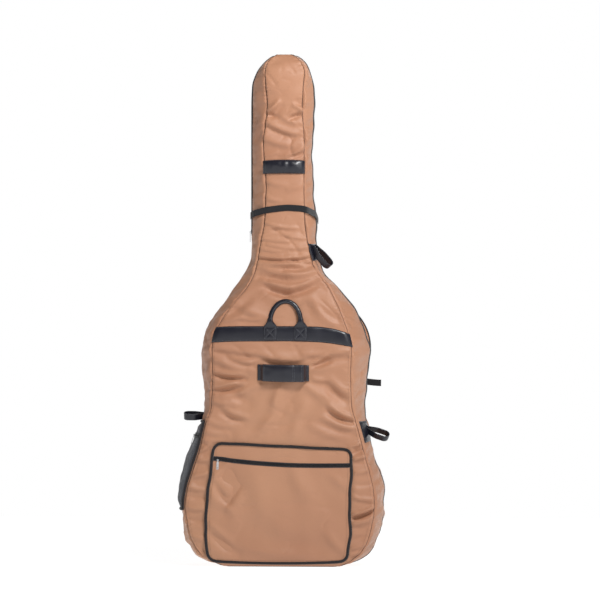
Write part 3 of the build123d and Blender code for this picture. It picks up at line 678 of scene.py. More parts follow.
# Each fold: from (x, z) to (x, z), width, height; a minus height is a crease.
FRONT_FOLDS = [
    # pinches below the scroll
    (-0.055, 1.682, -0.015, 1.716, 8, 5.0), (0.082, 1.684, 0.048, 1.706, 7, 4.0),
    (0.078, 1.672, 0.032, 1.658, 7, -4.5), (-0.054, 1.676, -0.020, 1.664, 7, -3.5),
    (-0.060, 1.650, 0.050, 1.600, 9, 2.5), (-0.050, 1.622, 0.075, 1.585, 9, -2.2),
    (0.010, 1.660, 0.070, 1.640, 8, 2.6), (-0.062, 1.585, 0.040, 1.556, 9, 2.0),
    (0.020, 1.520, 0.086, 1.556, 8, 3.0), (0.030, 1.512, 0.086, 1.532, 6, -2.6),
    (-0.066, 1.520, -0.020, 1.532, 7, 1.8), (-0.062, 1.430, 0.010, 1.412, 9, 1.6),
    (0.030, 1.395, 0.084, 1.420, 9, 1.6), (-0.055, 1.365, -0.010, 1.352, 7, 2.2),
    # between the neck strap and the shoulders
    (-0.060, 1.272, 0.060, 1.252, 5, 2.2), (-0.064, 1.253, -0.010, 1.258, 5, 1.8),
    (0.000, 1.232, 0.092, 1.214, 5, 2.4), (-0.070, 1.214, 0.040, 1.206, 5, 2.0),
    (-0.050, 1.192, 0.098, 1.180, 5, 2.2), (-0.080, 1.178, 0.020, 1.168, 5, 1.8),
    (-0.088, 1.139, 0.118, 1.142, 4, -3.6), (-0.088, 1.150, 0.112, 1.153, 6, 2.4),
    (-0.080, 1.122, 0.060, 1.126, 9, 3.0), (0.040, 1.136, 0.122, 1.118, 6, -2.6),
    (-0.070, 1.104, 0.030, 1.086, 9, 3.0), (0.010, 1.098, 0.122, 1.116, 8, -3.0),
    (-0.095, 1.082, 0.010, 1.060, 10, -3.2), (0.030, 1.078, 0.135, 1.092, 10, 3.4),
    # the crescent over the top handle
    (-0.055, 1.036, 0.020, 1.008, 11, -5.0), (0.020, 1.008, 0.125, 1.045, 11, -5.0),
    (-0.060, 1.058, 0.030, 1.032, 12, 4.5), (0.030, 1.030, 0.135, 1.066, 12, 4.5),
    (-0.155, 0.966, -0.060, 0.925, 12, 3.0), (-0.145, 0.918, -0.080, 0.913, 6, 2.4),
    (0.120, 0.985, 0.178, 0.925, 14, 3.0), (0.145, 0.960, 0.205, 0.915, 10, -3.0),
    (-0.185, 0.945, -0.120, 0.985, 12, -2.6), (-0.200, 0.910, -0.140, 0.930, 9, 2.4),
    # below the band
    (-0.245, 0.812, 0.245, 0.796, 11, 3.2), (-0.235, 0.792, -0.060, 0.776, 12, -3.0),
    (0.060, 0.778, 0.240, 0.772, 12, -2.6), (-0.250, 0.772, -0.120, 0.744, 12, 3.2),
    (-0.195, 0.762, -0.092, 0.742, 8, -3.6), (-0.180, 0.775, -0.090, 0.760, 9, 4.0),
    (-0.060, 0.775, 0.085, 0.766, 9, 4.2), (0.108, 0.752, 0.165, 0.778, 7, 4.0),
    (0.112, 0.742, 0.180, 0.758, 7, -3.0), (0.110, 0.700, 0.165, 0.690, 7, 2.2),
    # folds out of the left seam
    (-0.246, 0.712, -0.135, 0.694, 7, -5.0), (-0.248, 0.724, -0.150, 0.712, 8, 4.5),
    (-0.248, 0.652, -0.150, 0.664, 8, -4.2), (-0.248, 0.664, -0.170, 0.684, 8, 3.5),
    (-0.250, 0.612, -0.175, 0.604, 9, 3.4), (-0.175, 0.640, -0.125, 0.615, 16, -4.0),
    (-0.205, 0.584, -0.130, 0.556, 9, 3.2), (-0.215, 0.566, -0.150, 0.540, 8, -2.6),
    (-0.262, 0.540, -0.190, 0.520, 9, 2.8), (-0.275, 0.500, -0.200, 0.492, 8, 2.0),
    # below the grab handle
    (-0.080, 0.672, -0.150, 0.640, 10, 3.2), (0.000, 0.664, -0.025, 0.590, 12, 2.6),
    (0.065, 0.660, -0.012, 0.530, 14, -2.6), (0.100, 0.668, 0.160, 0.630, 12, 2.6),
    (-0.020, 0.560, -0.075, 0.500, 14, 2.2), (0.090, 0.600, 0.050, 0.500, 16, 2.4),
    # folds out of the right seam
    (0.170, 0.668, 0.235, 0.612, 14, -3.6), (0.190, 0.690, 0.256, 0.640, 12, 3.0),
    (0.185, 0.594, 0.268, 0.552, 8, 4.6), (0.180, 0.572, 0.262, 0.535, 8, -3.6),
    (0.160, 0.548, 0.275, 0.512, 10, 3.0), (0.120, 0.520, 0.240, 0.480, 12, 2.2),
    (0.262, 0.446, 0.310, 0.470, 7, 4.0), (0.264, 0.420, 0.318, 0.440, 6, -3.6),
    (0.264, 0.398, 0.325, 0.418, 7, 3.6), (0.266, 0.352, 0.338, 0.362, 8, 2.4),
    (0.268, 0.306, 0.344, 0.312, 8, -2.2), (0.270, 0.262, 0.350, 0.250, 7, 3.0),
    (0.268, 0.196, 0.352, 0.228, 6, 6.0), (0.270, 0.182, 0.350, 0.214, 6, -5.0),
    (0.262, 0.160, 0.335, 0.176, 8, 2.6), (0.262, 0.100, 0.320, 0.120, 9, -2.4),
    (0.258, 0.070, 0.310, 0.084, 8, 2.4), (0.255, 0.046, 0.290, 0.056, 6, 3.0),
    # left of the pocket
    (-0.345, 0.300, -0.285, 0.286, 8, 3.4), (-0.352, 0.262, -0.288, 0.254, 8, -2.6),
    (-0.352, 0.222, -0.286, 0.216, 8, 3.0), (-0.348, 0.176, -0.288, 0.172, 8, -2.6),
    (-0.330, 0.336, -0.272, 0.346, 8, 2.6), (-0.310, 0.400, -0.262, 0.396, 8, 2.6),
    (-0.320, 0.110, -0.280, 0.105, 8, 2.2), (-0.300, 0.068, -0.275, 0.060, 8, -2.2),
    (-0.292, 0.432, -0.262, 0.452, 7, 3.0), (-0.285, 0.470, -0.225, 0.468, 8, 2.4),
]

POCKET_FOLDS = [
    (-0.214, 0.366, -0.160, 0.302, 20, -3.4), (-0.240, 0.300, -0.196, 0.240, 12, -3.6),
    (-0.196, 0.240, -0.164, 0.290, 11, -3.4), (-0.200, 0.228, -0.180, 0.205, 12, 2.6),
    (-0.240, 0.110, -0.160, 0.050, 14, -2.8), (-0.250, 0.150, -0.190, 0.100, 12, 2.4),
    (0.050, 0.360, 0.095, 0.270, 20, 2.0), (0.120, 0.340, 0.200, 0.210, 26, -2.2),
    (-0.100, 0.330, -0.020, 0.160, 34, 2.2), (0.190, 0.340, 0.242, 0.300, 14, 2.0),
    (-0.060, 0.120, 0.120, 0.080, 26, -2.0), (0.180, 0.120, 0.236, 0.060, 14, 2.4),
    (-0.120, 0.070, 0.100, 0.052, 14, 1.8), (-0.236, 0.340, -0.200, 0.378, 12, 2.4),
]


FOLD_GAIN = 2.5


def creases(x, z, scale, seed):
    """Thin creases that wander over the cloth and fade in and out, from 0 to 1."""
    line = ripple(x, z, scale, seed)
    here = smooth_step(ripple(x, z, scale * 1.4, seed + 50) * 2.2)
    return np.exp(-(line / 0.17) ** 2) * here


def folded(x, z, folds):
    """Outward height of a set of folds: each is a rounded ridge or crease that fades at its ends."""
    total = np.zeros_like(x)
    for x0, z0, x1, z1, width, height in folds:
        ax, az = x1 - x0, z1 - z0
        size2 = ax * ax + az * az
        t = ((x - x0) * ax + (z - z0) * az) / size2
        bend = 0.05 * math.sqrt(size2) * np.sin(np.clip(t, 0, 1) * math.pi)
        off = ((x - x0) * -az + (z - z0) * ax) / math.sqrt(size2) + bend
        over = np.maximum(np.maximum(-t, t - 1), 0) * math.sqrt(size2)
        w = width / 1000 * 1.25
        ridge = np.exp(-(off / w) ** 2) - 0.45 * np.exp(-((off + 1.9 * w) / (1.4 * w)) ** 2)
        taper = np.exp(-(over / w / 1.3) ** 2) * (0.65 + 0.35 * np.sin(np.clip(t, 0, 1) * math.pi))
        total += height / 1000 * FOLD_GAIN * ridge * taper
    return total


# ---------------------------------------------------------------- cloth simulation of the padded skin

SIM_ROWS, SIM_SIDE, SIM_PANEL, SIM_CAP = 190, 12, 46, 4
SIM_FRAMES = 22
SIM_CAP_OUT, SIM_CAP_IN = 0.0090, 0.0060
FINE_ROWS, FINE_SIDE, FINE_PANEL, FINE_CAP = 430, 26, 108, 8


def held_grid(points, half, soft, n_side, n_panel, n_cap):
    """How firmly each grid point is held: 1 on the seams, the zip edges and under sewn-on parts."""
    rows, cols = points.shape[:2]
    x, z = points[..., 0], points[..., 2]
    held = np.zeros((rows, cols))
    panel = slice(n_side, n_side + n_panel + 1)
    if half < 0:
        held[:, panel] = held_on_front(x[:, panel], z[:, panel], soft)
    else:
        held[:, panel] = np.maximum(boxed(x[:, panel], z[:, panel], (-0.18, 0.18), (0.93, 0.975), soft), 0)
    held[:n_cap] = 1
    held[-n_cap:] = 1
    return held


def simulate(half):
    """Lets the skin, cut a little too large, buckle between its seams over the foam."""
    shape = half_grid(half, SIM_ROWS, SIM_SIDE, SIM_PANEL, SIM_CAP)
    rows, cols = shape.shape[:2]
    skin = grid_piece("simulated_skin", shape, M_NYLON, flip=half > 0)
    held = held_grid(shape, half, 0.012, SIM_SIDE, SIM_PANEL, SIM_CAP)
    for column in (0, SIM_SIDE, SIM_SIDE + SIM_PANEL, cols - 1):
        held[:, column] = 1
    pins = skin.vertex_groups.new(name="pins")
    flat = held.reshape(-1)
    for index in np.nonzero(flat > 0.02)[0]:
        pins.add([int(index)], float(flat[index]), "REPLACE")
    cloth = skin.modifiers.new("cloth", "CLOTH")
    settings = cloth.settings
    settings.quality = 5
    settings.mass = 0.2
    settings.tension_stiffness = 25
    settings.compression_stiffness = 25
    settings.shear_stiffness = 8
    settings.bending_stiffness = 1.0
    settings.tension_damping = settings.compression_damping = 15
    settings.bending_damping = 2.0
    settings.air_damping = 4
    settings.vertex_group_mass = "pins"
    settings.shrink_min = -0.06
    settings.use_pressure = True
    settings.uniform_pressure_force = 2.5
    settings.effector_weights.gravity = 0.25
    cloth.collision_settings.use_collision = False
    scene = bpy.context.scene
    for number in range(1, SIM_FRAMES + 1):
        scene.frame_set(number)
    graph = bpy.context.evaluated_depsgraph_get()
    result = skin.evaluated_get(graph).to_mesh()
    moved = np.empty(len(result.vertices) * 3)
    result.vertices.foreach_get("co", moved)
    skin.evaluated_get(graph).to_mesh_clear()
    moved = moved.reshape(rows, cols, 3)
    bpy.data.objects.remove(skin)
    scene.frame_set(1)
    out = ((moved - shape) * grid_normals(shape, half)).sum(axis=-1)
    out = SIM_CAP_OUT * np.tanh(np.maximum(out, 0) / SIM_CAP_OUT) - SIM_CAP_IN * np.tanh(
        np.maximum(-out, 0) / SIM_CAP_IN)
    for _ in range(1):
        out[1:-1, 1:-1] = (out[1:-1, 1:-1] * 4 + out[:-2, 1:-1] + out[2:, 1:-1] + out[1:-1, :-2]
                           + out[1:-1, 2:]) / 8
    return out


def cubic_rows(values, at):
    """Smooth interpolation down the first axis at fractional row numbers."""
    count = len(values)
    i = np.clip(np.floor(at).astype(int), 0, count - 2)
    t = (at - i)[:, None]
    p0, p1 = values[np.maximum(i - 1, 0)], values[i]
    p2, p3 = values[i + 1], values[np.minimum(i + 2, count - 1)]
    return 0.5 * (2 * p1 + (p2 - p0) * t + (2 * p0 - 5 * p1 + 4 * p2 - p3) * t ** 2
                  + (3 * p1 - p0 - 3 * p2 + p3) * t ** 3)


def spread_out(coarse):
    """The simulated heights on the fine grid; both grids share their row and column spacing."""
    row_at = np.concatenate([
        np.linspace(0, SIM_CAP, FINE_CAP + 1)[:-1],
        SIM_CAP + np.linspace(0, SIM_ROWS - 1, FINE_ROWS),
        SIM_CAP + SIM_ROWS - 1 + np.linspace(0, SIM_CAP, FINE_CAP + 1)[1:]])
    column_at = np.concatenate([
        np.linspace(0, SIM_SIDE, FINE_SIDE + 1)[:-1],
        SIM_SIDE + np.linspace(0, SIM_PANEL, FINE_PANEL + 1),
        SIM_SIDE + SIM_PANEL + np.linspace(0, SIM_SIDE, FINE_SIDE + 1)[1:]])
    tall = cubic_rows(coarse, row_at)
    return cubic_rows(tall.T, column_at).T


def make_skin(half):
    points = half_grid(half, FINE_ROWS, FINE_SIDE, FINE_PANEL, FINE_CAP)
    normals = grid_normals(points, half)
    rows, cols = points.shape[:2]
    x, y, z = points[..., 0], points[..., 1], points[..., 2]
    out = np.zeros((rows, cols))
    out += spread_out(simulate(half))
    held = held_grid(points, half, 0.02, FINE_SIDE, FINE_PANEL, FINE_CAP)
    first, last = FINE_SIDE, FINE_SIDE + FINE_PANEL
    panel = slice(first, last + 1)
    extra = np.zeros((rows, cols))
    if half < 0:
        extra[:, panel] += folded(x[:, panel], z[:, panel], FRONT_FOLDS)
        extra[:, panel] += 0.0034 * ripple(x[:, panel] * 0.8, z[:, panel], 0.20, 3)
        extra[:, panel] += 0.0016 * ripple(x[:, panel] * 0.5, z[:, panel], 0.075, 4)
        extra[:, panel] -= 0.0024 * creases(x[:, panel] * 0.8, z[:, panel] * 1.3, 0.20, 7)
        extra[:, panel] -= 0.0013 * creases(x[:, panel] * 0.8, z[:, panel] * 1.2, 0.085, 9)
    else:
        extra[:, panel] += 0.0022 * ripple(x[:, panel], z[:, panel], 0.14, 8)
        extra[:, panel] += 0.0012 * ripple(x[:, panel] * 0.4, z[:, panel], 0.05, 9)
    for side_columns, seed in ((slice(0, first + 1), 11), (slice(last, cols), 12)):
        yy, zz = y[:, side_columns], z[:, side_columns]
        extra[:, side_columns] += 0.0036 * ripple(yy * 0.5, zz, 0.085, seed + half)
        extra[:, side_columns] += 0.0020 * ripple(yy * 0.35, zz, 0.036, seed + 5 + half)
        extra[:, side_columns] -= 0.0020 * creases(yy * 0.6, zz, 0.08, seed + 9 + half)
    # puckers where the seams draw the cloth in, and quiet cloth beside the zip
    for column in (first, last):
        reach = np.linalg.norm(points - points[:, column:column + 1], axis=-1)
        line = points[:, column, 2]
        wave = np.abs(np.sin(line * TAU / 0.034 + 2.0 * np.sin(line * 21)))
        wave = wave * (0.55 + 0.45 * np.sin(line * 47 + column))
        near = np.exp(-((reach - 0.006) / 0.012) ** 2)
        extra += 0.0038 * wave[:, None] * near
        extra *= 1 - 0.85 * np.exp(-(reach / 0.0045) ** 2)
        out -= 0.0042 * np.exp(-(reach / 0.0026) ** 2) * end_fade(np.clip(z, FLOOR_Z, TOP_Z))
    zip_reach = np.minimum(np.linalg.norm(points - points[:, :1], axis=-1),
                           np.linalg.norm(points - points[:, -1:], axis=-1))
    quiet = smooth_step((zip_reach - 0.003) / 0.03)
    if half < 0:
        for side, (y_a, y_b), (low, high) in LOOP_PATCHES + [(-1, MESH_Y, (MESH_Z[0], MESH_TOP))]:
            columns = slice(0, first + 1) if side < 0 else slice(last, cols)
            quiet[:, columns] *= 1 - boxed(y[:, columns], z[:, columns], (y_a, y_b), (low, high), 0.012)
    else:
        quiet[:, panel] *= 1 - boxed(np.abs(x[:, panel]), z[:, panel], STRAP_X, STRAP_Z, 0.02)
    out = (out + extra * (1 - held)) * quiet
    out *= smooth_step((z - FLOOR_Z) / 0.02) * smooth_step((TOP_Z - z) / 0.015)
    points = points + normals * out[..., None]
    return points


# ---------------------------------------------------------------- build the shell

def put(obj, body, slot, *replaced):
    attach(obj, body)
    if replaced:
        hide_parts(*replaced)


def shell_nodes(name, layers):
    return [f"{name}_{part}_{layer}" for part in ("panel", "left_gusset", "right_gusset", "base")
            for layer in layers]


SKINS = {}


def make_shell(name, half, body):
    points = make_skin(half)
    SKINS[half] = points
    skin = grid_piece(f"{name}_padded_skin", points, M_NYLON, flip=half > 0, weld=True)
    put(skin, body, "nylon", *shell_nodes(name, ("skin", "foam")))
    inner = half_grid(half, 200, 12, 50, 5, inset=WALL)
    zz = np.clip(inner[..., 2], FLOOR_Z + WALL, TOP_Z - WALL)
    inner[..., 1] += -half * 0.0018 * np.abs(ripple(inner[..., 0], zz, 0.12, 21)) * (
        smooth_step((abs(inner[..., 1]) - 0.03) / 0.05))
    lining = grid_piece(f"{name}_lining_cloth", inner, M_LINING, flip=half < 0, weld=True)
    put(lining, body, "lining", f"{name}_lining")
    # the bound edge that closes the padding beside the zip
    outer_ring = rim_loop(points)
    inner_ring = rim_loop(inner)
    count = 1100
    a = resample(outer_ring, count, closed=True)
    b = matched(a, inner_ring)
    rows = []
    for k in np.linspace(0, 1, 7):
        ring = a + (b - a) * k
        ring[:, 1] -= half * 0.0028 * math.sin(k * math.pi)
        rows.append(ring)
    edge = grid_piece(f"{name}_bound_edge", np.stack(rows, axis=0), M_BINDING, wrap=True, flip=half > 0)
    put(edge, body, "binding")


def rim_loop(points):
    """The closed line along a half's zip edge, without repeats."""
    return np.concatenate([points[0, :-1], points[:, -1][:-1], points[-1, ::-1][:-1], points[::-1, 0][:-1]])


def matched(outer, inner_loop):
    """For each point of the outer ring, the place on the inner ring at the same share of its run."""
    def run_shares(path):
        closed = np.concatenate([path, path[:1]])
        run = np.concatenate([[0], np.cumsum(np.linalg.norm(np.diff(closed, axis=0), axis=1))])
        return closed, run / run[-1]
    closed, share = run_shares(inner_loop)
    many_points = np.stack([np.interp(np.linspace(0, 1, 6000), share, closed[:, k])
                            for k in range(3)], axis=1)
    result = np.empty_like(outer)
    for i, p in enumerate(outer):
        distance = ((many_points - p) ** 2).sum(axis=1)
        result[i] = many_points[np.argmin(distance)]
    for _ in range(6):
        result = (np.roll(result, 1, axis=0) + 2 * result + np.roll(result, -1, axis=0)) / 4
    return result


def make_hinge_cloth():
    """The uncut cloth down the left side, where the front opens."""
    z = np.linspace(HINGE_Z[0] - 0.004, HINGE_Z[1] + 0.004, 240)
    y = np.linspace(-ZIP_EDGE - 0.0005, ZIP_EDGE + 0.0005, 15)
    x = outline(z, 1)
    grid = np.empty((len(z), len(y), 3))
    grid[..., 0] = x[:, None] - 0.0012 * np.cos(y[None] / ZIP_EDGE * math.pi / 2) * (
        1 + 0.5 * np.sin(z[:, None] * 130))
    grid[..., 1] = y[None]
    grid[..., 2] = z[:, None]
    inner = grid.copy()
    inner[..., 0] += 0.0016
    ring = np.concatenate([grid, inner[:, ::-1]], axis=1)
    strip = grid_piece("left_hinge_cloth", ring, M_NYLON, wrap=True, flip=False)
    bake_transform(strip)
    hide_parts("left_hinge_strip")


# ---------------------------------------------------------------- seams and stitching on the shell

def seam_stitches(name, half, body):
    points = SKINS[half]
    normals = grid_normals(points, half)
    parts = []
    for column, inward in ((FINE_SIDE, 1), (FINE_SIDE + FINE_PANEL, -1)):
        j = column + inward * 4
        path = points[FINE_CAP + 4:-FINE_CAP - 4, j]
        parts += dashes(path, normals[FINE_CAP + 4:-FINE_CAP - 4, j], 0.0052, STITCH, 0.0002)
    put(many(f"{name}_seam_stitches", parts, M_THREAD), body, "nylon")


def seam_shade_strips(name, half, body):
    """The narrow dark strip that lies in each seam's groove: painted shade for the groove's shadow."""
    points = SKINS[half]
    normals = grid_normals(points, half)
    parts = []
    for column in (FINE_SIDE, FINE_SIDE + FINE_PANEL):
        path = points[FINE_CAP + 2:-FINE_CAP, column]
        out = normals[FINE_CAP + 2:-FINE_CAP, column]
        path, out = resample(path, 700), unit(resample(out, 700))
        # painted shade: a dark strip down the groove in place of its shadow
        parts.append(swept(path + out * 0.0004, out, round_section(0.0034, 0.0022, 6)))
    put(many(f"{name}_seam_shade_strips", parts, M_SEAM_SHADE), body, "nylon")


def zip_facing():
    """The black facing sewn along the front edge of the zip, turned onto the side wall."""
    parts = []
    for side, low, high in ((-1, HINGE_Z[1] + 0.010, TOP_Z - 0.004), (1, FLOOR_Z + 0.004, TOP_Z - 0.004)):
        z = np.linspace(low, high, 420)
        width = 0.0105
        y = np.full_like(z, -ZIP_EDGE - width / 2 + 0.0012)
        base = wall_point(z, side, y, 0.0)
        out = unit(wall_point(z, side, y, 0.01) - base)
        parts.append(swept(base + out * 0.0012, out, round_section(width, 0.0014, 8, 4.0)))
    facing = many("front_zip_facing", parts, M_TAPE)
    put(facing, "cover", "zip_tape")


# ---------------------------------------------------------------- main zip

COIL_R, COIL_PITCH = 0.00105, 0.0026


def zip_path(y):
    """Where the zip runs: low on the left, under the base, up the right, over the top and down the neck."""
    left_low = np.linspace(HINGE_Z[0], FLOOR_Z, 60)
    right = row_heights(300)
    left_high = np.linspace(TOP_Z, HINGE_Z[1], 170)
    under, over = 0.0030, 1.8990
    path = [(outline(z, 1), z, (-1, 0, 0.0)) for z in left_low]
    path += [(x, under, (0, 0, -1)) for x in np.linspace(outline(FLOOR_Z, 1), outline(FLOOR_Z, 2), 60)[1:-1]]
    path += [(outline(z, 2), z, (1, 0, 0.0)) for z in right]
    path += [(x, over, (0, 0, 1)) for x in np.linspace(outline(TOP_Z, 2), outline(TOP_Z, 1), 14)[1:-1]]
    path += [(outline(z, 1), z, (-1, 0, 0.0)) for z in left_high]
    points = np.array([(float(x), y, float(z)) for x, z, _ in path])
    along = tangents(points)
    out = unit(np.cross(along, np.array([[0, -1.0, 0]])))
    centre = np.array([0, y, 0.95])
    flip = ((points - centre) * out * (1, 0, 1)).sum(axis=1) < 0
    out[flip] *= -1
    for _ in range(3):
        out[1:-1] = unit(out[:-2] + 2 * out[1:-1] + out[2:])
    return points, out


def make_zip(name, half, body):
    points, out = zip_path(half * 0.0062)
    dense = resample(points, 900)
    out_dense = unit(resample(out, 900))
    section = round_section(0.0094, 0.0010, 8, 5.0)
    tape = many(f"{name}_zip_tape_cloth", [swept(dense + out_dense * 0.0011, out_dense, section)], M_TAPE)
    put(tape, body, "zip_tape", f"{name}_zip_tape")
    points, out = zip_path(half * 0.0019)
    total = length_of(points)
    turns = int(total / COIL_PITCH)
    steps = turns * 6
    line, ways = resample(points, steps), unit(resample(out, steps))
    along = tangents(line)
    side = unit(np.cross(along, ways))
    phase = np.arange(steps) / 6 * TAU
    helix = line + ways * (0.0013 + COIL_R * np.sin(phase))[:, None]
    helix = helix + side * (1.25 * COIL_R * np.cos(phase))[:, None]
    wire = swept(helix, ways + 0.001, round_section(0.0009, 0.0009, 4))
    coil = many(f"{name}_zip_coil_wire", [wire], M_COIL)
    put(coil, body, "zip_coil", f"{name}_zip_coil")
    row = dense[::3] + out_dense[::3] * 0.0017 + np.array([[0, half * 0.0026, 0]])
    stitches = dashes(row, out_dense[::3], 0.0052, (0.0034, 0.0008, 0.0006))
    put(many(f"{name}_zip_stitches", stitches, M_THREAD_DARK), body, "zip_tape")


# ---------------------------------------------------------------- music pocket

def pocket_point(u, v, grow=0.0):
    """A place in the pocket's outline: u across, v up, both from 0 to 1."""
    z_left, z_right = 0.021 + 0.436 * v, 0.021 + 0.415 * v
    left = np.interp(z_left, *POCKET_LEFT.T) + 0.004 * np.sin(v * 7 + 1) * np.sin(v * math.pi)
    right = np.interp(z_right, *POCKET_RIGHT.T) + 0.003 * np.sin(v * 9) * np.sin(v * math.pi)
    tall = 0.425
    h = np.minimum(v, 1 - v) * tall
    inset = np.where(h < POCKET_R, POCKET_R - np.sqrt(np.maximum(POCKET_R ** 2 - (POCKET_R - h) ** 2, 0)), 0)
    left, right = left + inset - grow, right - inset + grow
    x = left + (right - left) * u
    z = z_left + (z_right - z_left) * u - 0.006 * (1 - v) ** 3 * np.sin(np.clip(u, 0, 1) * math.pi) ** 0.7
    return x, z


ZIP_V = (0.8720, 0.8580)       # the pocket zip's height at its left and right ends
ZIP_SAG = 0.010                # how far the zip sags in its middle
SLOT_V = 0.0040 / 0.42


def zip_v(u):
    return ZIP_V[0] + (ZIP_V[1] - ZIP_V[0]) * u - ZIP_SAG / 0.42 * np.sin(u * math.pi) * smooth_step(
        u / 0.15)


def pocket_face(x, z, u, v):
    """The pocket's cloth, in front of the panel."""
    swell = np.clip(np.sin(np.clip(u, 0, 1) * math.pi), 0, 1)
    swell = swell * np.clip(np.sin(np.clip(v, 0, 1) * math.pi), 0, 1)
    y = panel_y(x, z) - 0.0040 - 0.0035 * np.sqrt(swell)
    inside = smooth_step(np.minimum(np.minimum(u, 1 - u) / 0.03, np.minimum(v, 1 - v) / 0.04))
    return y - (folded(x, z, POCKET_FOLDS) + 0.0016 * ripple(x, z, 0.12, 31)
                - 0.0014 * creases(x, z * 1.2, 0.15, 33)) * inside


def pocket_sheet(name, v_low, v_high, rows, cols, replaced):
    u = np.linspace(0, 1, cols)[None, :] * np.ones((rows, 1))
    w = np.linspace(0, 1, rows)[:, None] * np.ones((1, cols))
    v = v_low(u) + (v_high(u) - v_low(u)) * w
    x, z = pocket_point(u, v)
    grid = np.stack([x, pocket_face(x, z, u, v), z], axis=-1)
    piece = grid_piece(name, grid, M_NYLON)
    put(piece, "cover", "nylon", replaced)
    return grid


def make_pocket():
    pocket_sheet("music_pocket_cloth", lambda u: 0 * u, lambda u: zip_v(u) - SLOT_V, 110, 150,
                 "music_pocket_panel")
    pocket_sheet("music_pocket_top_cloth", lambda u: zip_v(u) + SLOT_V, lambda u: 0 * u + 1, 22, 150,
                 "music_pocket_top")
    # piping: a closed rounded line round the pocket
    corner = POCKET_R / 0.425
    v = np.concatenate([np.linspace(0, corner, 12)[:-1], np.linspace(corner, 1 - corner, 60),
                        np.linspace(1 - corner, 1, 12)[1:]])
    right_x, right_z = pocket_point(np.ones_like(v), v, 0.002)
    left_x, left_z = pocket_point(np.zeros_like(v), v, 0.002)
    u = np.linspace(0, 1, 90)[1:-1]
    top_x, top_z = pocket_point(u[::-1], np.ones_like(u))
    low_x, low_z = pocket_point(u, np.zeros_like(u))
    x = np.concatenate([low_x, right_x, top_x, left_x[::-1]])
    z = np.concatenate([low_z, right_z, top_z, left_z[::-1]])
    x = x + 0.0012 * np.sin(z * 60)
    z = z + 0.0006 * np.sin(x * 37) * (z > 0.3)
    loop = resample(np.stack([x, panel_y(x, z) - 0.0045, z], axis=1), 700, closed=True)
    up = along_all(FORWARD, loop)
    cord = swept(loop, up, round_section(0.0112, 0.0105, 12, 2.4), closed=True)
    piping = many("music_pocket_piping_cord", [cord], M_BINDING)
    put(piping, "cover", "binding", "music_pocket_piping")
    # a line of stitches inside the piping
    inner_u = np.full(120, 0.022)
    vv = np.linspace(0.04, 0.96, 120)
    stitch_parts = []
    for u_line, v_line in ((inner_u, vv), (1 - inner_u, vv),
                           (np.linspace(0.05, 0.95, 120), np.full(120, 0.022))):
        x, z = pocket_point(u_line, v_line)
        path = np.stack([x, pocket_face(x, z, u_line, v_line), z], axis=1)
        stitch_parts += dashes(path, along_all(FORWARD, path), 0.005, STITCH, 0.0003)
    put(many("music_pocket_stitches", stitch_parts, M_THREAD), "cover", "nylon")
    # the zip
    u = np.linspace(0.004, 0.996, 220)
    x, z = pocket_point(u, zip_v(u))
    path = np.stack([x, pocket_face(x, z, u, zip_v(u)) + 0.0003, z], axis=1)
    tapes = [swept(path, along_all(FORWARD, path), round_section(0.0100, 0.0010, 8, 5.0))]
    stitches = []
    for side in (1, -1):
        v_line = zip_v(u) + side * 0.0052 / 0.42
        x, z = pocket_point(u, v_line)
        y = pocket_face(x, z, u, np.clip(v_line, 0, 1)) - 0.0009
        path = np.stack([x, y, z], axis=1)
        up = along_all(FORWARD, path)
        tapes.append(swept(path, up, round_section(0.0062, 0.0011, 8, 5.0)))
        stitches += dashes(path + np.array([0, -0.0007, side * 0.0020]), up, 0.005, (0.0034, 0.0008, 0.0006))
    tape = many("music_zip_tape_cloth", tapes, M_TAPE)
    put(tape, "cover", "zip_tape", "music_zip_tape")
    put(many("music_zip_stitches", stitches, M_THREAD_DARK), "cover", "zip_tape")
    coils = []
    for side in (1, -1):
        fine = np.linspace(0.03, 0.99, 1300)
        v_line = zip_v(fine) + side * 0.0015 / 0.42
        x, z = pocket_point(fine, v_line)
        y = pocket_face(x, z, fine, v_line) - 0.0018
        phase = np.arange(len(fine)) / 6 * TAU
        path = np.stack([x, y - 0.0008 * np.sin(phase), z + side * 0.0009 * np.cos(phase)], axis=1)
        coils.append(swept(path, np.broadcast_to([0.02, -1.0, 0.01], path.shape),
                           round_section(0.0009, 0.0009, 4)))
    put(many("music_zip_coil_wire", coils, M_COIL), "cover", "zip_coil", "music_zip_coil")


# ---------------------------------------------------------------- leatherette band and handles

def front_trees():
    points = SKINS[-1]
    rows, cols = points.shape[:2]
    return BVHTree.FromPolygons([Vector(p) for p in points.reshape(-1, 3)], grid_faces(rows, cols))


def skin_y(tree, x, z):
    """The y of the front panel's cloth at each (x, z)."""
    flat_x, flat_z = np.ravel(x), np.ravel(z)
    result = np.empty(len(flat_x))
    for i, (px, pz) in enumerate(zip(flat_x, flat_z)):
        hit = tree.ray_cast(Vector((px, -1.0, pz)), Vector((0, 1, 0)))[0]
        result[i] = hit.y if hit is not None else panel_y(px, pz)
    return result.reshape(np.shape(x))


def cushion_edge(share, power=2.4):
    """0 at both edges and 1 between them, rounded like a folded edge."""
    return (1 - np.abs(2 * share - 1) ** power) ** (1 / power)


def shell_faces(rows, cols, flip=False):
    """Faces of two matching grids and of the strip that joins their rims."""
    size = rows * cols
    faces = grid_faces(rows, cols, flip=flip) + grid_faces(rows, cols, flip=not flip, start=size)
    rim = list(range(cols)) + [i * cols + cols - 1 for i in range(1, rows)]
    rim += [(rows - 1) * cols + j for j in range(cols - 2, -1, -1)]
    rim += [i * cols for i in range(rows - 2, 0, -1)]
    ring = zip(rim, rim[1:] + rim[:1])
    return faces + [[a, b, b + size, a + size] if flip else [b, a, a + size, b + size] for a, b in ring]


def shell_points(front, back):
    return np.concatenate([front.reshape(-1, 3), back.reshape(-1, 3)])


def closed_shell(name, front, back, material):
    """Two matching grids joined round their rims into one closed piece."""
    return new_piece(name, shell_points(front, back), shell_faces(*front.shape[:2]), material)


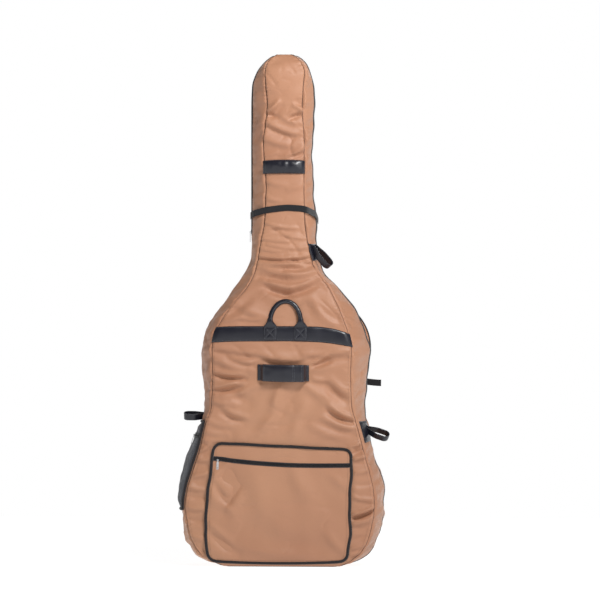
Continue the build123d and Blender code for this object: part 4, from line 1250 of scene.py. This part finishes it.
def make_band(tree):
    cols, rows = 150, 15
    u, w = shares(rows, cols)
    x = -0.262 + 0.53 * u
    z = monotone(*BAND_LOW.T, x) + (monotone(*BAND_TOP.T, x) - monotone(*BAND_LOW.T, x)) * w
    for _ in range(2):
        left, right = outline(z, 3) - 0.004, outline(z, 4) + 0.004
        x = left + (right - left) * u
        z = monotone(*BAND_LOW.T, x) + (monotone(*BAND_TOP.T, x) - monotone(*BAND_LOW.T, x)) * w
    base = skin_y(tree, x, z)
    for _ in range(4):
        base[:, 1:-1] = (base[:, :-2] + 2 * base[:, 1:-1] + base[:, 2:]) / 4
    thick = 0.0010 + 0.0046 * cushion_edge(w, 2.2) * cushion_edge(u, 12)
    waves = 0.0010 * ripple(x, z * 0.4, 0.09, 41) * cushion_edge(w)
    y = base - thick - waves
    front = np.stack([x, y, z], axis=-1)
    back = np.stack([x, base + 0.0010, z], axis=-1)
    band = closed_shell("leather_band_cover", front, back, M_LEATHER)
    put(band, "cover", "leatherette", "leather_band")
    parts = []
    up = np.broadcast_to(FORWARD, (cols, 3))
    for row, lift in ((1, 0.0006), (rows - 2, 0.0006)):
        parts += dashes(front[row], up, 0.0052, (0.0036, 0.0009, 0.0007), lift)
    put(many("leather_band_stitches", parts, M_THREAD_DARK), "cover", "leatherette")
    return front


HANDLE_X, HANDLE_REACH, HANDLE_R = 0.0185, 0.0565, 0.0088
FOOT_X = (HANDLE_X - 0.056, HANDLE_X + 0.056)


def make_foot_patches():
    """Stitched patches with a crossed box, under the feet of the rolled handle."""
    patches, stitches = [], []
    for centre in FOOT_X:
        cols, rows = 22, 20
        u, w = shares(rows, cols, -1)
        x = centre + 0.0245 * u
        low, high = monotone(*BAND_LOW.T, x) + 0.004, monotone(*BAND_TOP.T, x) + 0.001
        z = low + (high - low) * w
        base = panel_y(x, z) - 0.0056
        edge = cushion_edge((u + 1) / 2, 6) * cushion_edge(w, 6)
        lines = np.minimum(np.abs(u - (2 * w - 1)), np.abs(u + (2 * w - 1)))
        box = np.minimum(np.abs(np.abs(u) - 0.84), np.abs(np.abs(2 * w - 1) - 0.82))
        groove = np.exp(-(lines / 0.09) ** 2) * (np.abs(u) < 0.84) + np.exp(-(box / 0.09) ** 2)
        y = base - 0.0005 - 0.0024 * edge + 0.0018 * np.clip(groove, 0, 1)
        front, back = np.stack([x, y, z], -1), np.stack([x, base + 0.001, z], -1)
        patches.append((shell_points(front, back), shell_faces(rows, cols)))
        up = np.array([0, -1.0, 0])
        corners = [(-0.84, 0.09), (0.84, 0.09), (0.84, 0.91), (-0.84, 0.91), (-0.84, 0.09), (0.84, 0.91)]
        lines = [(corners[i], corners[i + 1]) for i in range(4)] + [((-0.84, 0.09), (0.84, 0.91)),
                                                                   ((0.84, 0.09), (-0.84, 0.91))]
        for (ua, wa), (ub, wb) in lines:
            t = np.linspace(0, 1, 30)
            su, sw = ua + (ub - ua) * t, wa + (wb - wa) * t
            sx = centre + 0.0245 * su
            lo, hi = monotone(*BAND_LOW.T, sx) + 0.004, monotone(*BAND_TOP.T, sx) + 0.001
            sz = lo + (hi - lo) * sw
            path = np.stack([sx, panel_y(sx, sz) - 0.0074, sz], axis=1)
            stitches += dashes(path, np.broadcast_to(up, path.shape), 0.0046, (0.0033, 0.0009, 0.0008))
    obj = many("handle_foot_patch_covers", patches, M_LEATHER)
    put(obj, "cover", "leatherette", "handle_foot_patches")
    put(many("handle_foot_stitches", stitches, M_THREAD_DARK), "cover", "leatherette")


def handle_point(x, z, forward):
    """A place in the plane of the rolled handle, which leans back with the panel."""
    foot_y = float(-outline(0.897, 5)) - 0.013
    lean = (float(outline(0.897, 5)) - float(outline(0.987, 5))) / 0.09
    return np.stack([x, foot_y + (z - 0.897) * lean - forward, z], axis=-1)


def make_top_handle():
    turn = np.linspace(0, math.pi, 80)
    x = HANDLE_X - HANDLE_REACH * np.cos(turn)
    z = 0.905 + 0.0760 * np.sin(turn)
    path = handle_point(x, z, 0.004 + 0 * x)
    path = resample(path, 110)
    up = np.broadcast_to([0, -1.0, 0.1], path.shape)
    section = round_section(2 * HANDLE_R, 2 * HANDLE_R * 0.95, 18, 2.0)
    around = np.arctan2(section[:, 1], section[:, 0])
    section = section * (1 - 0.13 * np.exp(-((around + 1.2) / 0.22) ** 2))[:, None]
    share = np.linspace(0, 1, len(path))
    scale = 1 + 0.03 * np.sin(share * 60) * np.sin(share * 23)
    tube = many("rolled_top_handle", [swept(path, up, section, scale=scale)], M_LEATHER)
    put(tube, "top_handle", "leatherette", "top_handle")
    side = unit(np.cross(tangents(path), up))
    seam_line = path + side * 0.0030 + np.array([0, -1, 0.1]) * HANDLE_R * 0.88
    put(many("rolled_handle_stitches", dashes(seam_line, up, 0.005, STITCH), M_THREAD_DARK),
        "top_handle", "leatherette")
    # gathered feet between the band and the roll
    for name, centre, leg in (("left", FOOT_X[0], HANDLE_X - HANDLE_REACH),
                              ("right", FOOT_X[1], HANDLE_X + HANDLE_REACH)):
        levels = np.linspace(0, 1, 22)
        rings = []
        for k in levels:
            z = 0.884 + 0.034 * k
            squeeze = smooth_step((k - 0.05) / 0.75)
            half_w = 0.0245 + (HANDLE_R * 1.10 - 0.0245) * squeeze
            half_d = 0.0030 + (HANDLE_R * 1.12 - 0.0030) * smooth_step(k / 0.7)
            cx = centre + (leg - centre) * squeeze
            front_y = float(panel_y(np.array(cx), np.array(z))) - 0.0048
            tube_y = float(handle_point(np.array(leg), np.array(z), 0.004)[1])
            cy = front_y - 0.001 + (tube_y - front_y) * smooth_step(k / 0.8)
            a = np.arange(28) / 28 * TAU
            pleat = 1 + 0.10 * np.sin(a * 5 + 1) * squeeze * (1 - smooth_step((k - 0.85) / 0.15))
            power = 2 / 2.6
            c, s = np.cos(a), np.sin(a)
            rings.append(np.stack([cx + half_w * np.sign(c) * abs(c) ** power * pleat,
                                   cy + half_d * np.sign(s) * abs(s) ** power * pleat,
                                   np.full(28, z)], axis=1))
        rings = np.array(rings)
        faces = grid_faces(22, 28, wrap=True) + [list(range(28))[::-1], [21 * 28 + j for j in range(28)]]
        foot = new_piece(f"handle_foot_{name}", rings.reshape(-1, 3), faces, M_LEATHER)
        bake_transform(foot)


def make_grab_handle(tree):
    """The wide grab handle that bows off the front."""
    cols, rows = 90, 20
    u, w = shares(rows, cols)
    width = GRAB_X[1] - GRAB_X[0]
    tab = 0.022 / width
    x = GRAB_X[0] + width * u
    rise = smooth_step((u - tab * 0.35) / 0.085) * smooth_step((1 - tab * 0.25 - u) / 0.085)
    z = GRAB_Z[0] + (GRAB_Z[1] - GRAB_Z[0]) * w - 0.003 * (u - 0.5)
    z = z + (w - 0.5) * 0.004 * rise - 0.002 * np.sin(u * math.pi)
    base = np.minimum(skin_y(tree, x, z).min(axis=0), panel_y(x, z).min(axis=0))[None] * np.ones((rows, 1))
    base[:, 0] = base[:, 1]
    for _ in range(12):
        base[:, 1:-1] = (base[:, :-2] + 2 * base[:, 1:-1] + base[:, 2:]) / 4
    centre = base - 0.0016 - 0.0215 * rise
    cup = 0.0030 * (1 - (2 * w - 1) ** 2) * rise
    thick = 0.0016 + 0.0022 * cushion_edge(w, 5) * cushion_edge(u, 14)
    seam = sum(np.exp(-((u - place) * width / 0.0016) ** 2) for place in (tab * 1.02, 0.715, 1 - tab * 1.02))
    y_front = centre - cup - thick + 0.0010 * seam - 0.0006 * ripple(x, z, 0.05, 51)
    y_back = centre - cup + 0.0012
    front, back = np.stack([x, y_front, z], -1), np.stack([x, y_back, z], -1)
    handle = closed_shell("grab_handle_cover", front, back, M_LEATHER)
    put(handle, "cover", "leatherette", "grab_handle")
    parts = []
    up = np.broadcast_to([0, -1.0, 0], (rows, 3))
    for place in (tab * 0.5, tab * 1.15, 0.700, 0.730, 1 - tab * 1.15, 1 - tab * 0.5):
        j = int(round(place * (cols - 1)))
        parts += dashes(front[1:-1, j], up[1:-1], 0.0048, STITCH, 0.0003)
    for row in (1, rows - 2):
        parts += dashes(front[row], along_all(FORWARD, front[row]), 0.0050, STITCH, 0.0003)
    put(many("grab_handle_stitches", parts, M_THREAD_DARK), "cover", "leatherette")


def make_neck_pad():
    """The puffed grip pad on the neck, drawn into the seams at its ends."""
    cols, rows = 70, 26
    u, w = shares(rows, cols)
    pinch = 1 - 0.10 * (1 - np.sin(u * math.pi) ** 0.35)
    x = PAD_X[0] + (PAD_X[1] - PAD_X[0]) * u
    middle = (PAD_Z[0] + PAD_Z[1]) / 2 + 0.002 * np.sin(u * math.pi)
    z = middle + (w - 0.5) * (PAD_Z[1] - PAD_Z[0]) * pinch
    base = panel_y(np.clip(x, outline(z, 3), outline(z, 4)), z)
    loft = cushion_edge(w, 2.0) * cushion_edge(u, 3.0)
    y = base - 0.0012 - 0.0135 * loft - 0.0012 * ripple(x * 1.4, z, 0.05, 61) * loft
    front, back = np.stack([x, y, z], -1), np.stack([x, base + 0.0012, z], -1)
    pad = closed_shell("neck_grip_cushion", front, back, M_LEATHER)
    put(pad, "cover", "leatherette", "neck_grip_pad")
    parts = []
    for row in (1, rows - 2):
        parts += dashes(front[row], along_all(FORWARD, front[row]), 0.0050, (0.0034, 0.0008, 0.0006), 0.0003)
    put(many("neck_grip_stitches", parts, M_THREAD_DARK), "cover", "leatherette")


def ribbon_parts(path, across, width, thickness, sides=12):
    """A flat strap along a path; across is the way its width runs at each point."""
    path, across = np.asarray(path, float), unit(np.asarray(across, float))
    along = tangents(path)
    out = unit(np.cross(across, along))
    across = unit(np.cross(along, out))
    section = round_section(width, thickness, sides, 6.0)
    rings = path[:, None] + across[:, None] * section[None, :, :1] + out[:, None] * section[None, :, 1:]
    rows, cols = rings.shape[:2]
    ends = [list(range(cols))[::-1], [(rows - 1) * cols + j for j in range(cols)]]
    return rings.reshape(-1, 3), grid_faces(rows, cols, wrap=True) + ends


def make_neck_strap():
    z0 = 1.30
    left, right = float(outline(z0, 1)), float(outline(z0, 2))
    seam_l, seam_r, depth = (float(v) for v in seams(np.array(z0), -1))
    lift = 0.0055
    corner = [(left - 0.0035, -0.016), (left - 0.003, -0.030), (left + 0.010, -0.062),
              (seam_l - 0.006, -depth - 0.001), (seam_l + 0.012, -depth - lift - 0.002),
              (-0.02, -depth - lift - 0.0068), (0.012, -depth - lift - 0.0072),
              (0.045, -depth - lift - 0.0066), (seam_r - 0.012, -depth - lift - 0.002),
              (seam_r + 0.006, -depth - 0.001), (right - 0.010, -0.058), (right + 0.003, -0.030),
              (right + 0.0045, -0.009), (right + 0.0055, 0.012), (right + 0.0065, 0.040)]
    corner = np.array(corner)
    run = np.concatenate([[0], np.cumsum(np.linalg.norm(np.diff(corner, axis=0), axis=1))])
    at = np.linspace(0, run[-1], 150)
    x, y = monotone(run, corner[:, 0], at), monotone(run, corner[:, 1], at)
    z = np.interp(at / run[-1], (0, 0.10, 0.28, 0.47, 0.62, 0.76, 0.9, 1.0),
                  (1.297, 1.304, 1.320, 1.328, 1.324, 1.309, 1.293, 1.280))
    for _ in range(30):
        z[1:-1] = (z[:-2] + 2 * z[1:-1] + z[2:]) / 4
    path = np.stack([x, y, z], axis=1)
    across = np.broadcast_to([0, 0, 1.0], path.shape) + 0.0
    strap = many("neck_strap_webbing", [ribbon_parts(path, across, 0.0235, 0.0020)], M_WEBBING)
    put(strap, "cover", "webbing", "neck_strap")


def make_loop(name, origin, x_dir, z_dir, length, width, half, tilt):
    """A carry loop: a strap sewn to itself at its root, open towards its end."""
    origin, x_dir, z_dir = np.array(origin), unit(np.array(x_dir, float)), unit(np.array(z_dir, float))
    y_dir = np.cross(z_dir, x_dir)
    y_dir = y_dir * -np.sign(y_dir[1])
    lean = math.radians(tilt)
    y_dir, z_dir = (math.cos(lean) * y_dir - math.sin(lean) * z_dir,
                    math.cos(lean) * z_dir + math.sin(lean) * y_dir)
    turn = np.linspace(math.pi / 2, -math.pi / 2, 26)
    out_x = length - half - 0.0015 + half * np.cos(turn)
    out_y = half * np.sin(turn)
    run = np.linspace(0.0015, length - half - 0.0015, 22)
    # the strands start together at the root and part as they leave it
    open_y = half * (0.30 + 0.70 * smooth_step(run / (length * 0.55)))
    px = np.concatenate([run[:-1], out_x, run[::-1][1:]])
    py = np.concatenate([open_y[:-1], out_y, -open_y[::-1][1:]])
    sag = 0.0016 * np.sin(px / length * math.pi)
    path = origin + px[:, None] * x_dir + (py + sag)[:, None] * y_dir
    path = resample(path, 90)
    across = np.broadcast_to(z_dir, path.shape)
    strap = many(f"{name}_strap", [ribbon_parts(path, across, width, 0.0027, 14)], M_LEATHER)
    put(strap, name, "leatherette", name)
    parts = []
    along = tangents(path)
    out = unit(np.cross(across, along))
    for shift in (-0.40, 0.40):
        parts += dashes(path + across * width * shift + out * 0.0014, out, 0.005, (0.0034, 0.0008, 0.0007))
    put(many(f"{name}_stitches", parts, M_THREAD_DARK), name, "leatherette")


def wall_point(z, side, y, lift):
    """A point on a side wall of the front half at depth y, lifted off it."""
    z, y = np.asarray(z, float), np.asarray(y, float)
    shape = np.broadcast(z, y).shape
    z, y = np.broadcast_to(z, shape).ravel(), np.broadcast_to(y, shape).ravel()
    zip_x = outline(z, 2 if side > 0 else 1)
    left, right, depth = seams(z, -1)
    seam_x = right if side > 0 else left
    dx, dy = seam_x - zip_x, -(depth - ZIP_EDGE)
    size = np.hypot(dx, dy)
    t = np.clip((y + ZIP_EDGE) / dy, 0, 1)
    swell = 0.005 * np.clip(size / 0.13, 0.4, 1) * 4 * t * (1 - t)
    bulge = PUFF * (1 - np.exp(-(1 - t) * size / 0.009)) * (1 - np.exp(-t * size / 0.03)) + swell
    total = bulge * end_fade(z) + lift
    nx, ny = side * np.abs(dy) / size, -dx * np.sign(dy) * side / size
    return np.stack([zip_x + dx * t + nx * total, y + ny * total, z], axis=-1).reshape(*shape, 3)


STRAP_X, STRAP_Z = (0.200, 0.268), (0.400, 0.720)      # where the strap webbing lies on the back
LOOP_PATCHES = [(1, (-0.090, -0.020), (1.134, 1.194)), (-1, (-0.064, -0.018), (0.543, 0.567)),
                (1, (-0.124, -0.020), (0.462, 0.538))]


def make_loop_patches():
    parts, stitches = [], []
    for side, (y_a, y_b), (low, high) in LOOP_PATCHES:
        rows, cols = 18, 18
        u, w = shares(rows, cols)
        taper = 0.10 * (1 - w) * (u - 0.5)
        y = y_a + (y_b - y_a) * u
        z = low + (high - low) * (w + taper)
        edge = cushion_edge(u, 8) * cushion_edge(w, 8)
        front = wall_point(z, side, y, 0)
        normal = unit(wall_point(z, side, y, 0.01) - front)
        front = front + normal * (0.0008 + 0.0022 * edge + 0.0005 * ripple(y, z, 0.03, 71) * edge)[..., None]
        back = wall_point(z, side, y, -0.002)
        parts.append((shell_points(front, back), shell_faces(rows, cols, flip=side < 0)))
        for row in (1, rows - 2):
            stitches += dashes(front[row, 1:-1], normal[row, 1:-1], 0.005, STITCH, 0.0003)
        for column in (1, cols - 2):
            stitches += dashes(front[1:-1, column], normal[1:-1, column], 0.005, STITCH, 0.0003)
    obj = many("loop_patch_covers", parts, M_LEATHER)
    put(obj, "cover", "leatherette", "loop_patches")
    put(many("loop_patch_stitches", stitches, M_THREAD_DARK), "cover", "leatherette")


# ---------------------------------------------------------------- mesh pocket on the left side

MESH_Y, MESH_Z, MESH_TOP = (-0.136, -0.020), (0.212, 0.470), 0.531


def mesh_lift(z, share):
    """How far the pocket stands off the side wall; share runs across it."""
    ends = smooth_step((z - 0.212) / 0.03) * smooth_step((0.534 - z) / 0.02)
    # drawn in towards the front along the zip, so that the slider runs straight
    ends = ends * (1 - 0.55 * smooth_step((0.75 - share) / 0.45) * np.exp(-((z - 0.483) / 0.03) ** 2))
    arch = np.clip(np.sin(np.clip(share, 0, 1) * math.pi), 0, 1) ** 0.45
    return 0.004 + (0.0085 + 0.004 * smooth_step((z - 0.26) / 0.15)) * ends * arch


def mesh_grid(low, high, rows, cols, inset=0.004):
    w = np.linspace(0, 1, rows)[:, None] * np.ones((1, cols))
    share = np.linspace(0.02, 0.98, cols)[None] * np.ones((rows, 1))
    z = low + (high - low) * w
    y = MESH_Y[0] + inset + (MESH_Y[1] - MESH_Y[0] - 2 * inset) * share
    lift = mesh_lift(z, share)
    return wall_point(z, -1, y, 0.0) + (unit(wall_point(z, -1, y, 0.01) - wall_point(z, -1, y, 0.0))
                                        * lift[..., None])


def make_mesh_pocket():
    panel = mesh_grid(0.214, 0.474, 90, 34)
    panel[..., 0] -= 0.0012 * ripple(panel[..., 1], panel[..., 2], 0.05, 81)
    net = grid_piece("mesh_pocket_net", panel, M_MESH, flip=False)
    put(net, "cover", "mesh", "mesh_pocket_panel")
    top = mesh_grid(0.492, 0.530, 18, 34)
    cap = grid_piece("mesh_pocket_top_cloth", top, M_SLATE, flip=False)
    put(cap, "cover", "nylon", "mesh_pocket_top")
    # bound rim: a flattened tube round the pocket, and one along each side of the zip
    rim_points, rim_out = [], []
    for z, share in ([(z, 0.0) for z in np.linspace(0.534, 0.215, 80)]
                     + [(0.212, s) for s in np.linspace(0, 1, 26)[1:-1]]
                     + [(z, 1.0) for z in np.linspace(0.215, 0.534, 80)]
                     + [(0.536, s) for s in np.linspace(1, 0, 26)[1:-1]]):
        y = MESH_Y[0] + 0.003 + (MESH_Y[1] - MESH_Y[0] - 0.006) * share
        p = wall_point(z, -1, y, 0.0).reshape(3)
        q = wall_point(z, -1, y, 0.01).reshape(3)
        n = (q - p) / np.linalg.norm(q - p)
        rim_points.append(p + n * 0.0045)
        rim_out.append(n)
    loop = resample(np.array(rim_points), 320, closed=True)
    out = unit(resample(np.array(rim_out), 320, closed=True))
    cord = swept(loop, out, round_section(0.0090, 0.0100, 12, 2.6), closed=True)
    rim = many("mesh_pocket_rim", [cord], M_BINDING)
    put(rim, "cover", "binding", "mesh_pocket_binding")
    tapes, coils = [], []
    middle = 0.483
    for side in (1, -1):
        share = np.linspace(0.05, 0.95, 40)
        y = MESH_Y[0] + 0.004 + (MESH_Y[1] - MESH_Y[0] - 0.008) * share
        z = np.full(40, middle + side * 0.0058)
        base = wall_point(z, -1, y, 0.0)
        out = unit(wall_point(z, -1, y, 0.01) - base)
        path = base + out * (mesh_lift(z, share) + 0.0006)[:, None]
        tapes.append(swept(path, out, round_section(0.0092, 0.0011, 8, 5.0)))
        share = np.linspace(0.08, 0.94, 210)
        y = MESH_Y[0] + 0.004 + (MESH_Y[1] - MESH_Y[0] - 0.008) * share
        z = np.full(210, middle + side * 0.0015)
        base = wall_point(z, -1, y, 0.0)
        out = unit(wall_point(z, -1, y, 0.01) - base)
        phase = np.arange(210) / 6 * TAU
        path = base + out * (mesh_lift(z, share) + 0.0014 + 0.0008 * np.sin(phase))[:, None]
        path[:, 2] += side * 0.0009 * np.cos(phase)
        coils.append(swept(path, out, round_section(0.0009, 0.0009, 4)))
    tape = many("mesh_zip_tape_cloth", tapes, M_TAPE)
    put(tape, "cover", "zip_tape", "mesh_zip_tape")
    put(many("mesh_zip_coil_wire", coils, M_COIL), "cover", "zip_coil", "mesh_zip_coil")


# ---------------------------------------------------------------- back of the bag

PAD_ARCS = {"right": [(0.124, 0.958), (0.283, 0.836), (0.232, 0.690)],
            "left": [(-0.130, 0.985), (-0.248, 0.850), (-0.220, 0.690)]}


def arc_through(a, b, c, count):
    """Points of the circle arc through three points in a plane."""
    (ax, ay), (bx, by), (cx, cy) = a, b, c
    d = 2 * (ax * (by - cy) + bx * (cy - ay) + cx * (ay - by))
    aa, bb, cc = ax ** 2 + ay ** 2, bx ** 2 + by ** 2, cx ** 2 + cy ** 2
    ux = (aa * (by - cy) + bb * (cy - ay) + cc * (ay - by)) / d
    uy = (aa * (cx - bx) + bb * (ax - cx) + cc * (bx - ax)) / d
    radius = math.hypot(ax - ux, ay - uy)
    t0, t1 = math.atan2(ay - uy, ax - ux), math.atan2(cy - uy, cx - ux)
    tm = math.atan2(by - uy, bx - ux)
    span = (t1 - t0 + math.pi) % TAU - math.pi
    if (tm - t0) * span < 0:
        span -= math.copysign(TAU, span)
    t = t0 + span * np.linspace(0, 1, count)
    return np.stack([ux + radius * np.cos(t), uy + radius * np.sin(t)], axis=1)


def make_shoulder_straps():
    for name, (a, b, c) in PAD_ARCS.items():
        line = arc_through(a, b, c, 90)
        direction = unit(np.gradient(line, axis=0))
        side = np.stack([-direction[:, 1], direction[:, 0]], axis=1)
        run = np.linspace(0, 1, 90)
        width = 0.031 * np.minimum(1, 0.62 + 1.4 * np.minimum(run, 1 - run) / 0.25)
        cols = 23
        w = np.linspace(-1, 1, cols)
        x = line[:, None, 0] + side[:, None, 0] * width[:, None] * w[None]
        z = line[:, None, 1] + side[:, None, 1] * width[:, None] * w[None]
        edge = np.sqrt(np.clip(1 - np.abs(w) ** 3, 0, 1))[None]
        edge = edge * np.sqrt(np.clip(cushion_edge(run, 6), 0, 1))[:, None]
        channels = 0.0010 * np.exp(-((np.abs(w) - 0.62) / 0.06) ** 2)[None]
        quilt = 0.0008 * np.exp(-((((run[:, None] * 11) % 1) - 0.5) / 0.07) ** 2) * (np.abs(w) < 0.6)[None]
        middle = 0.1490
        outer = middle + 0.0018 + 0.0050 * edge - channels - quilt + 0.0007 * ripple(x, z, 0.05, 91)
        inner = middle - 0.0018 - 0.0040 * edge
        front = np.stack([x, outer, z], -1)
        back = np.stack([x, inner, z], -1)
        pad = closed_shell(f"shoulder_pad_{name}", front, back, M_NYLON)
        put(pad, "back", "nylon", f"shoulder_strap_{name}")
        ring = np.concatenate([front[:, 0], front[-1, 1:-1], front[::-1, -1], front[0, 1:-1][::-1]])
        ring[:, 1] = middle
        ring = resample(ring, 260, closed=True)
        tube = many(f"shoulder_pad_{name}_binding",
                    [swept(ring, along_all(BACKWARD, ring), round_section(0.0058, 0.0092, 10, 2.4),
                           closed=True)], M_BINDING)
        put(tube, "back", "binding")
        parts = []
        for j in (4, cols - 5):
            parts += dashes(front[4:-4, j], along_all(BACKWARD, front[4:-4, j]), 0.005,
                            STITCH, 0.0004)
        put(many(f"shoulder_pad_{name}_stitches", parts, M_THREAD), "back", "nylon")


def make_back_webbing():
    parts = []
    for x in (0.232, -0.220):
        z = np.linspace(0.430, 0.640, 60)
        under = np.maximum(panel_y(x - 0.0125 + 0 * z, z, 1), panel_y(x + 0.0125 + 0 * z, z, 1))
        y = np.maximum(0.1461, under + 0.0016) + 0.0006 * np.sin((z - 0.43) / 0.21 * math.pi * 3)
        path = np.stack([np.full(60, x), y, z], axis=1)
        parts.append(ribbon_parts(path, np.broadcast_to([1.0, 0, 0], path.shape), 0.025, 0.0018))
        # the turn of webbing through the buckle
        t = np.linspace(0, 1, 30)
        path = np.stack([np.full(30, x), 0.1495 + 0.0042 * np.sin(t * math.pi), 0.640 + 0.024 * t], axis=1)
        parts.append(ribbon_parts(path, np.broadcast_to([1.0, 0, 0], path.shape), 0.025, 0.0018))
    web = many("strap_webbing_ribbon", parts, M_WEBBING)
    put(web, "back", "webbing", "strap_webbing")
    x = np.linspace(0.238, 0.357, 50)
    z = 0.680 - 0.004 * ((x - 0.238) / 0.12) + 0.002 * np.sin((x - 0.238) / 0.12 * 5)
    path = np.stack([x, np.full(50, 0.1578), z], axis=1)
    ribbon = ribbon_parts(path, along_all((0, 0, 1.0), path), 0.0245, 0.0018)
    tail = many("webbing_tail_ribbon", [ribbon], M_WEBBING)
    put(tail, "back", "webbing", "webbing_tail")
    # leatherette anchors, tapered to the panel behind them
    anchors, stitches = [], []
    for low, high, centre, half_w in ((0.940, 0.968, -0.150, 0.024), (0.940, 0.968, 0.150, 0.024),
                                      (0.415, 0.460, -0.220, 0.022), (0.415, 0.460, 0.232, 0.022)):
        rows, cols = 16, 20
        u, w = shares(rows, cols, -1)
        x, z = centre + half_w * u, low + (high - low) * w
        base = panel_y(x, z, 1)
        face = (0.1415 if low > 0.9 else 0.1444) + 0.0 * x
        edge = cushion_edge((u + 1) / 2, 9) * cushion_edge(w, 9)
        y = np.maximum(base + 0.0006, face - 0.001 + 0.0012 * edge)
        front, back = np.stack([x, y, z], -1), np.stack([x, base - 0.001, z], -1)
        anchors.append((shell_points(front, back), shell_faces(rows, cols, flip=True)))
        for j in (1, cols - 2):
            stitches += dashes(front[1:-1, j], np.broadcast_to([0, 1.0, 0], (rows - 2, 3)), 0.005,
                               STITCH, 0.0003)
    obj = many("strap_anchor_covers", anchors, M_LEATHER)
    put(obj, "back", "leatherette", "strap_anchors")
    put(many("strap_anchor_stitches", stitches, M_THREAD_DARK), "back", "leatherette")


def make_bridge_pad():
    """The quilted pad inside the front, over the instrument's bridge."""
    rows, cols = 40, 44
    u, w = shares(rows, cols)
    h = np.minimum(w, 1 - w) * 0.14
    inset = np.where(h < 0.02, 0.02 - np.sqrt(np.maximum(0.0004 - (0.02 - h) ** 2, 0)), 0)
    x = -0.08 + inset + (0.16 - 2 * inset) * u
    z = 0.52 + 0.14 * w
    loft = np.sqrt(cushion_edge(u, 4) * cushion_edge(w, 4))
    quilt = 0.0012 * (np.abs(np.sin((x + z) * 70)) ** 0.3 * np.abs(np.sin((x - z) * 70)) ** 0.3 - 1)
    base = -0.1177
    front = np.stack([x, base + 0.001 + (0.0062 + quilt) * loft, z], -1)
    back = np.stack([x, np.full_like(x, base), z], -1)
    pad = closed_shell("bridge_pad_quilted", back, front, M_LINING)
    put(pad, "cover", "lining", "bridge_pad")


def finish_cad_nodes():
    for node, material in (("main_slider", M_METAL), ("main_pull", M_METAL), ("music_slider", M_METAL),
                           ("music_pull", M_METAL), ("mesh_slider", M_METAL), ("mesh_pull", M_METAL),
                           ("ladder_locks", M_PLASTIC), ("front_base_patch", M_LEATHER),
                           ("back_base_patch", M_LEATHER)):
        data = NODES[node].data
        data.materials.clear()
        data.materials.append(material)


# ---------------------------------------------------------------- everything

make_camera()
make_lights()
make_floor()
for shell_name, shell_half, shell_body in (("front", -1, "cover"), ("back", 1, "back")):
    make_shell(shell_name, shell_half, shell_body)
    seam_stitches(shell_name, shell_half, shell_body)
    seam_shade_strips(shell_name, shell_half, shell_body)
    make_zip(shell_name, shell_half, shell_body)
zip_facing()
make_hinge_cloth()
front_tree = front_trees()
make_pocket()
make_band(front_tree)
make_foot_patches()
make_top_handle()
make_grab_handle(front_tree)
make_neck_pad()
make_neck_strap()
make_loop_patches()
make_loop("upper_loop", (0.116, -0.074, 1.186), (0.645, 0, -0.764), (0.764, 0, 0.645),
          0.100, 0.0250, 0.0190, 32)
make_loop("left_loop", (-0.288, -0.046, 0.556), (-1, 0, 0), (0, 0, 1), 0.080, 0.025, 0.0165, 18)
make_loop("right_loop", (0.308, -0.062, 0.510), (0.94, 0, -0.342), (0.342, 0, 0.94),
          0.094, 0.0235, 0.0190, 34)
make_mesh_pocket()
make_shoulder_straps()
make_back_webbing()
make_bridge_pad()
finish_cad_nodes()
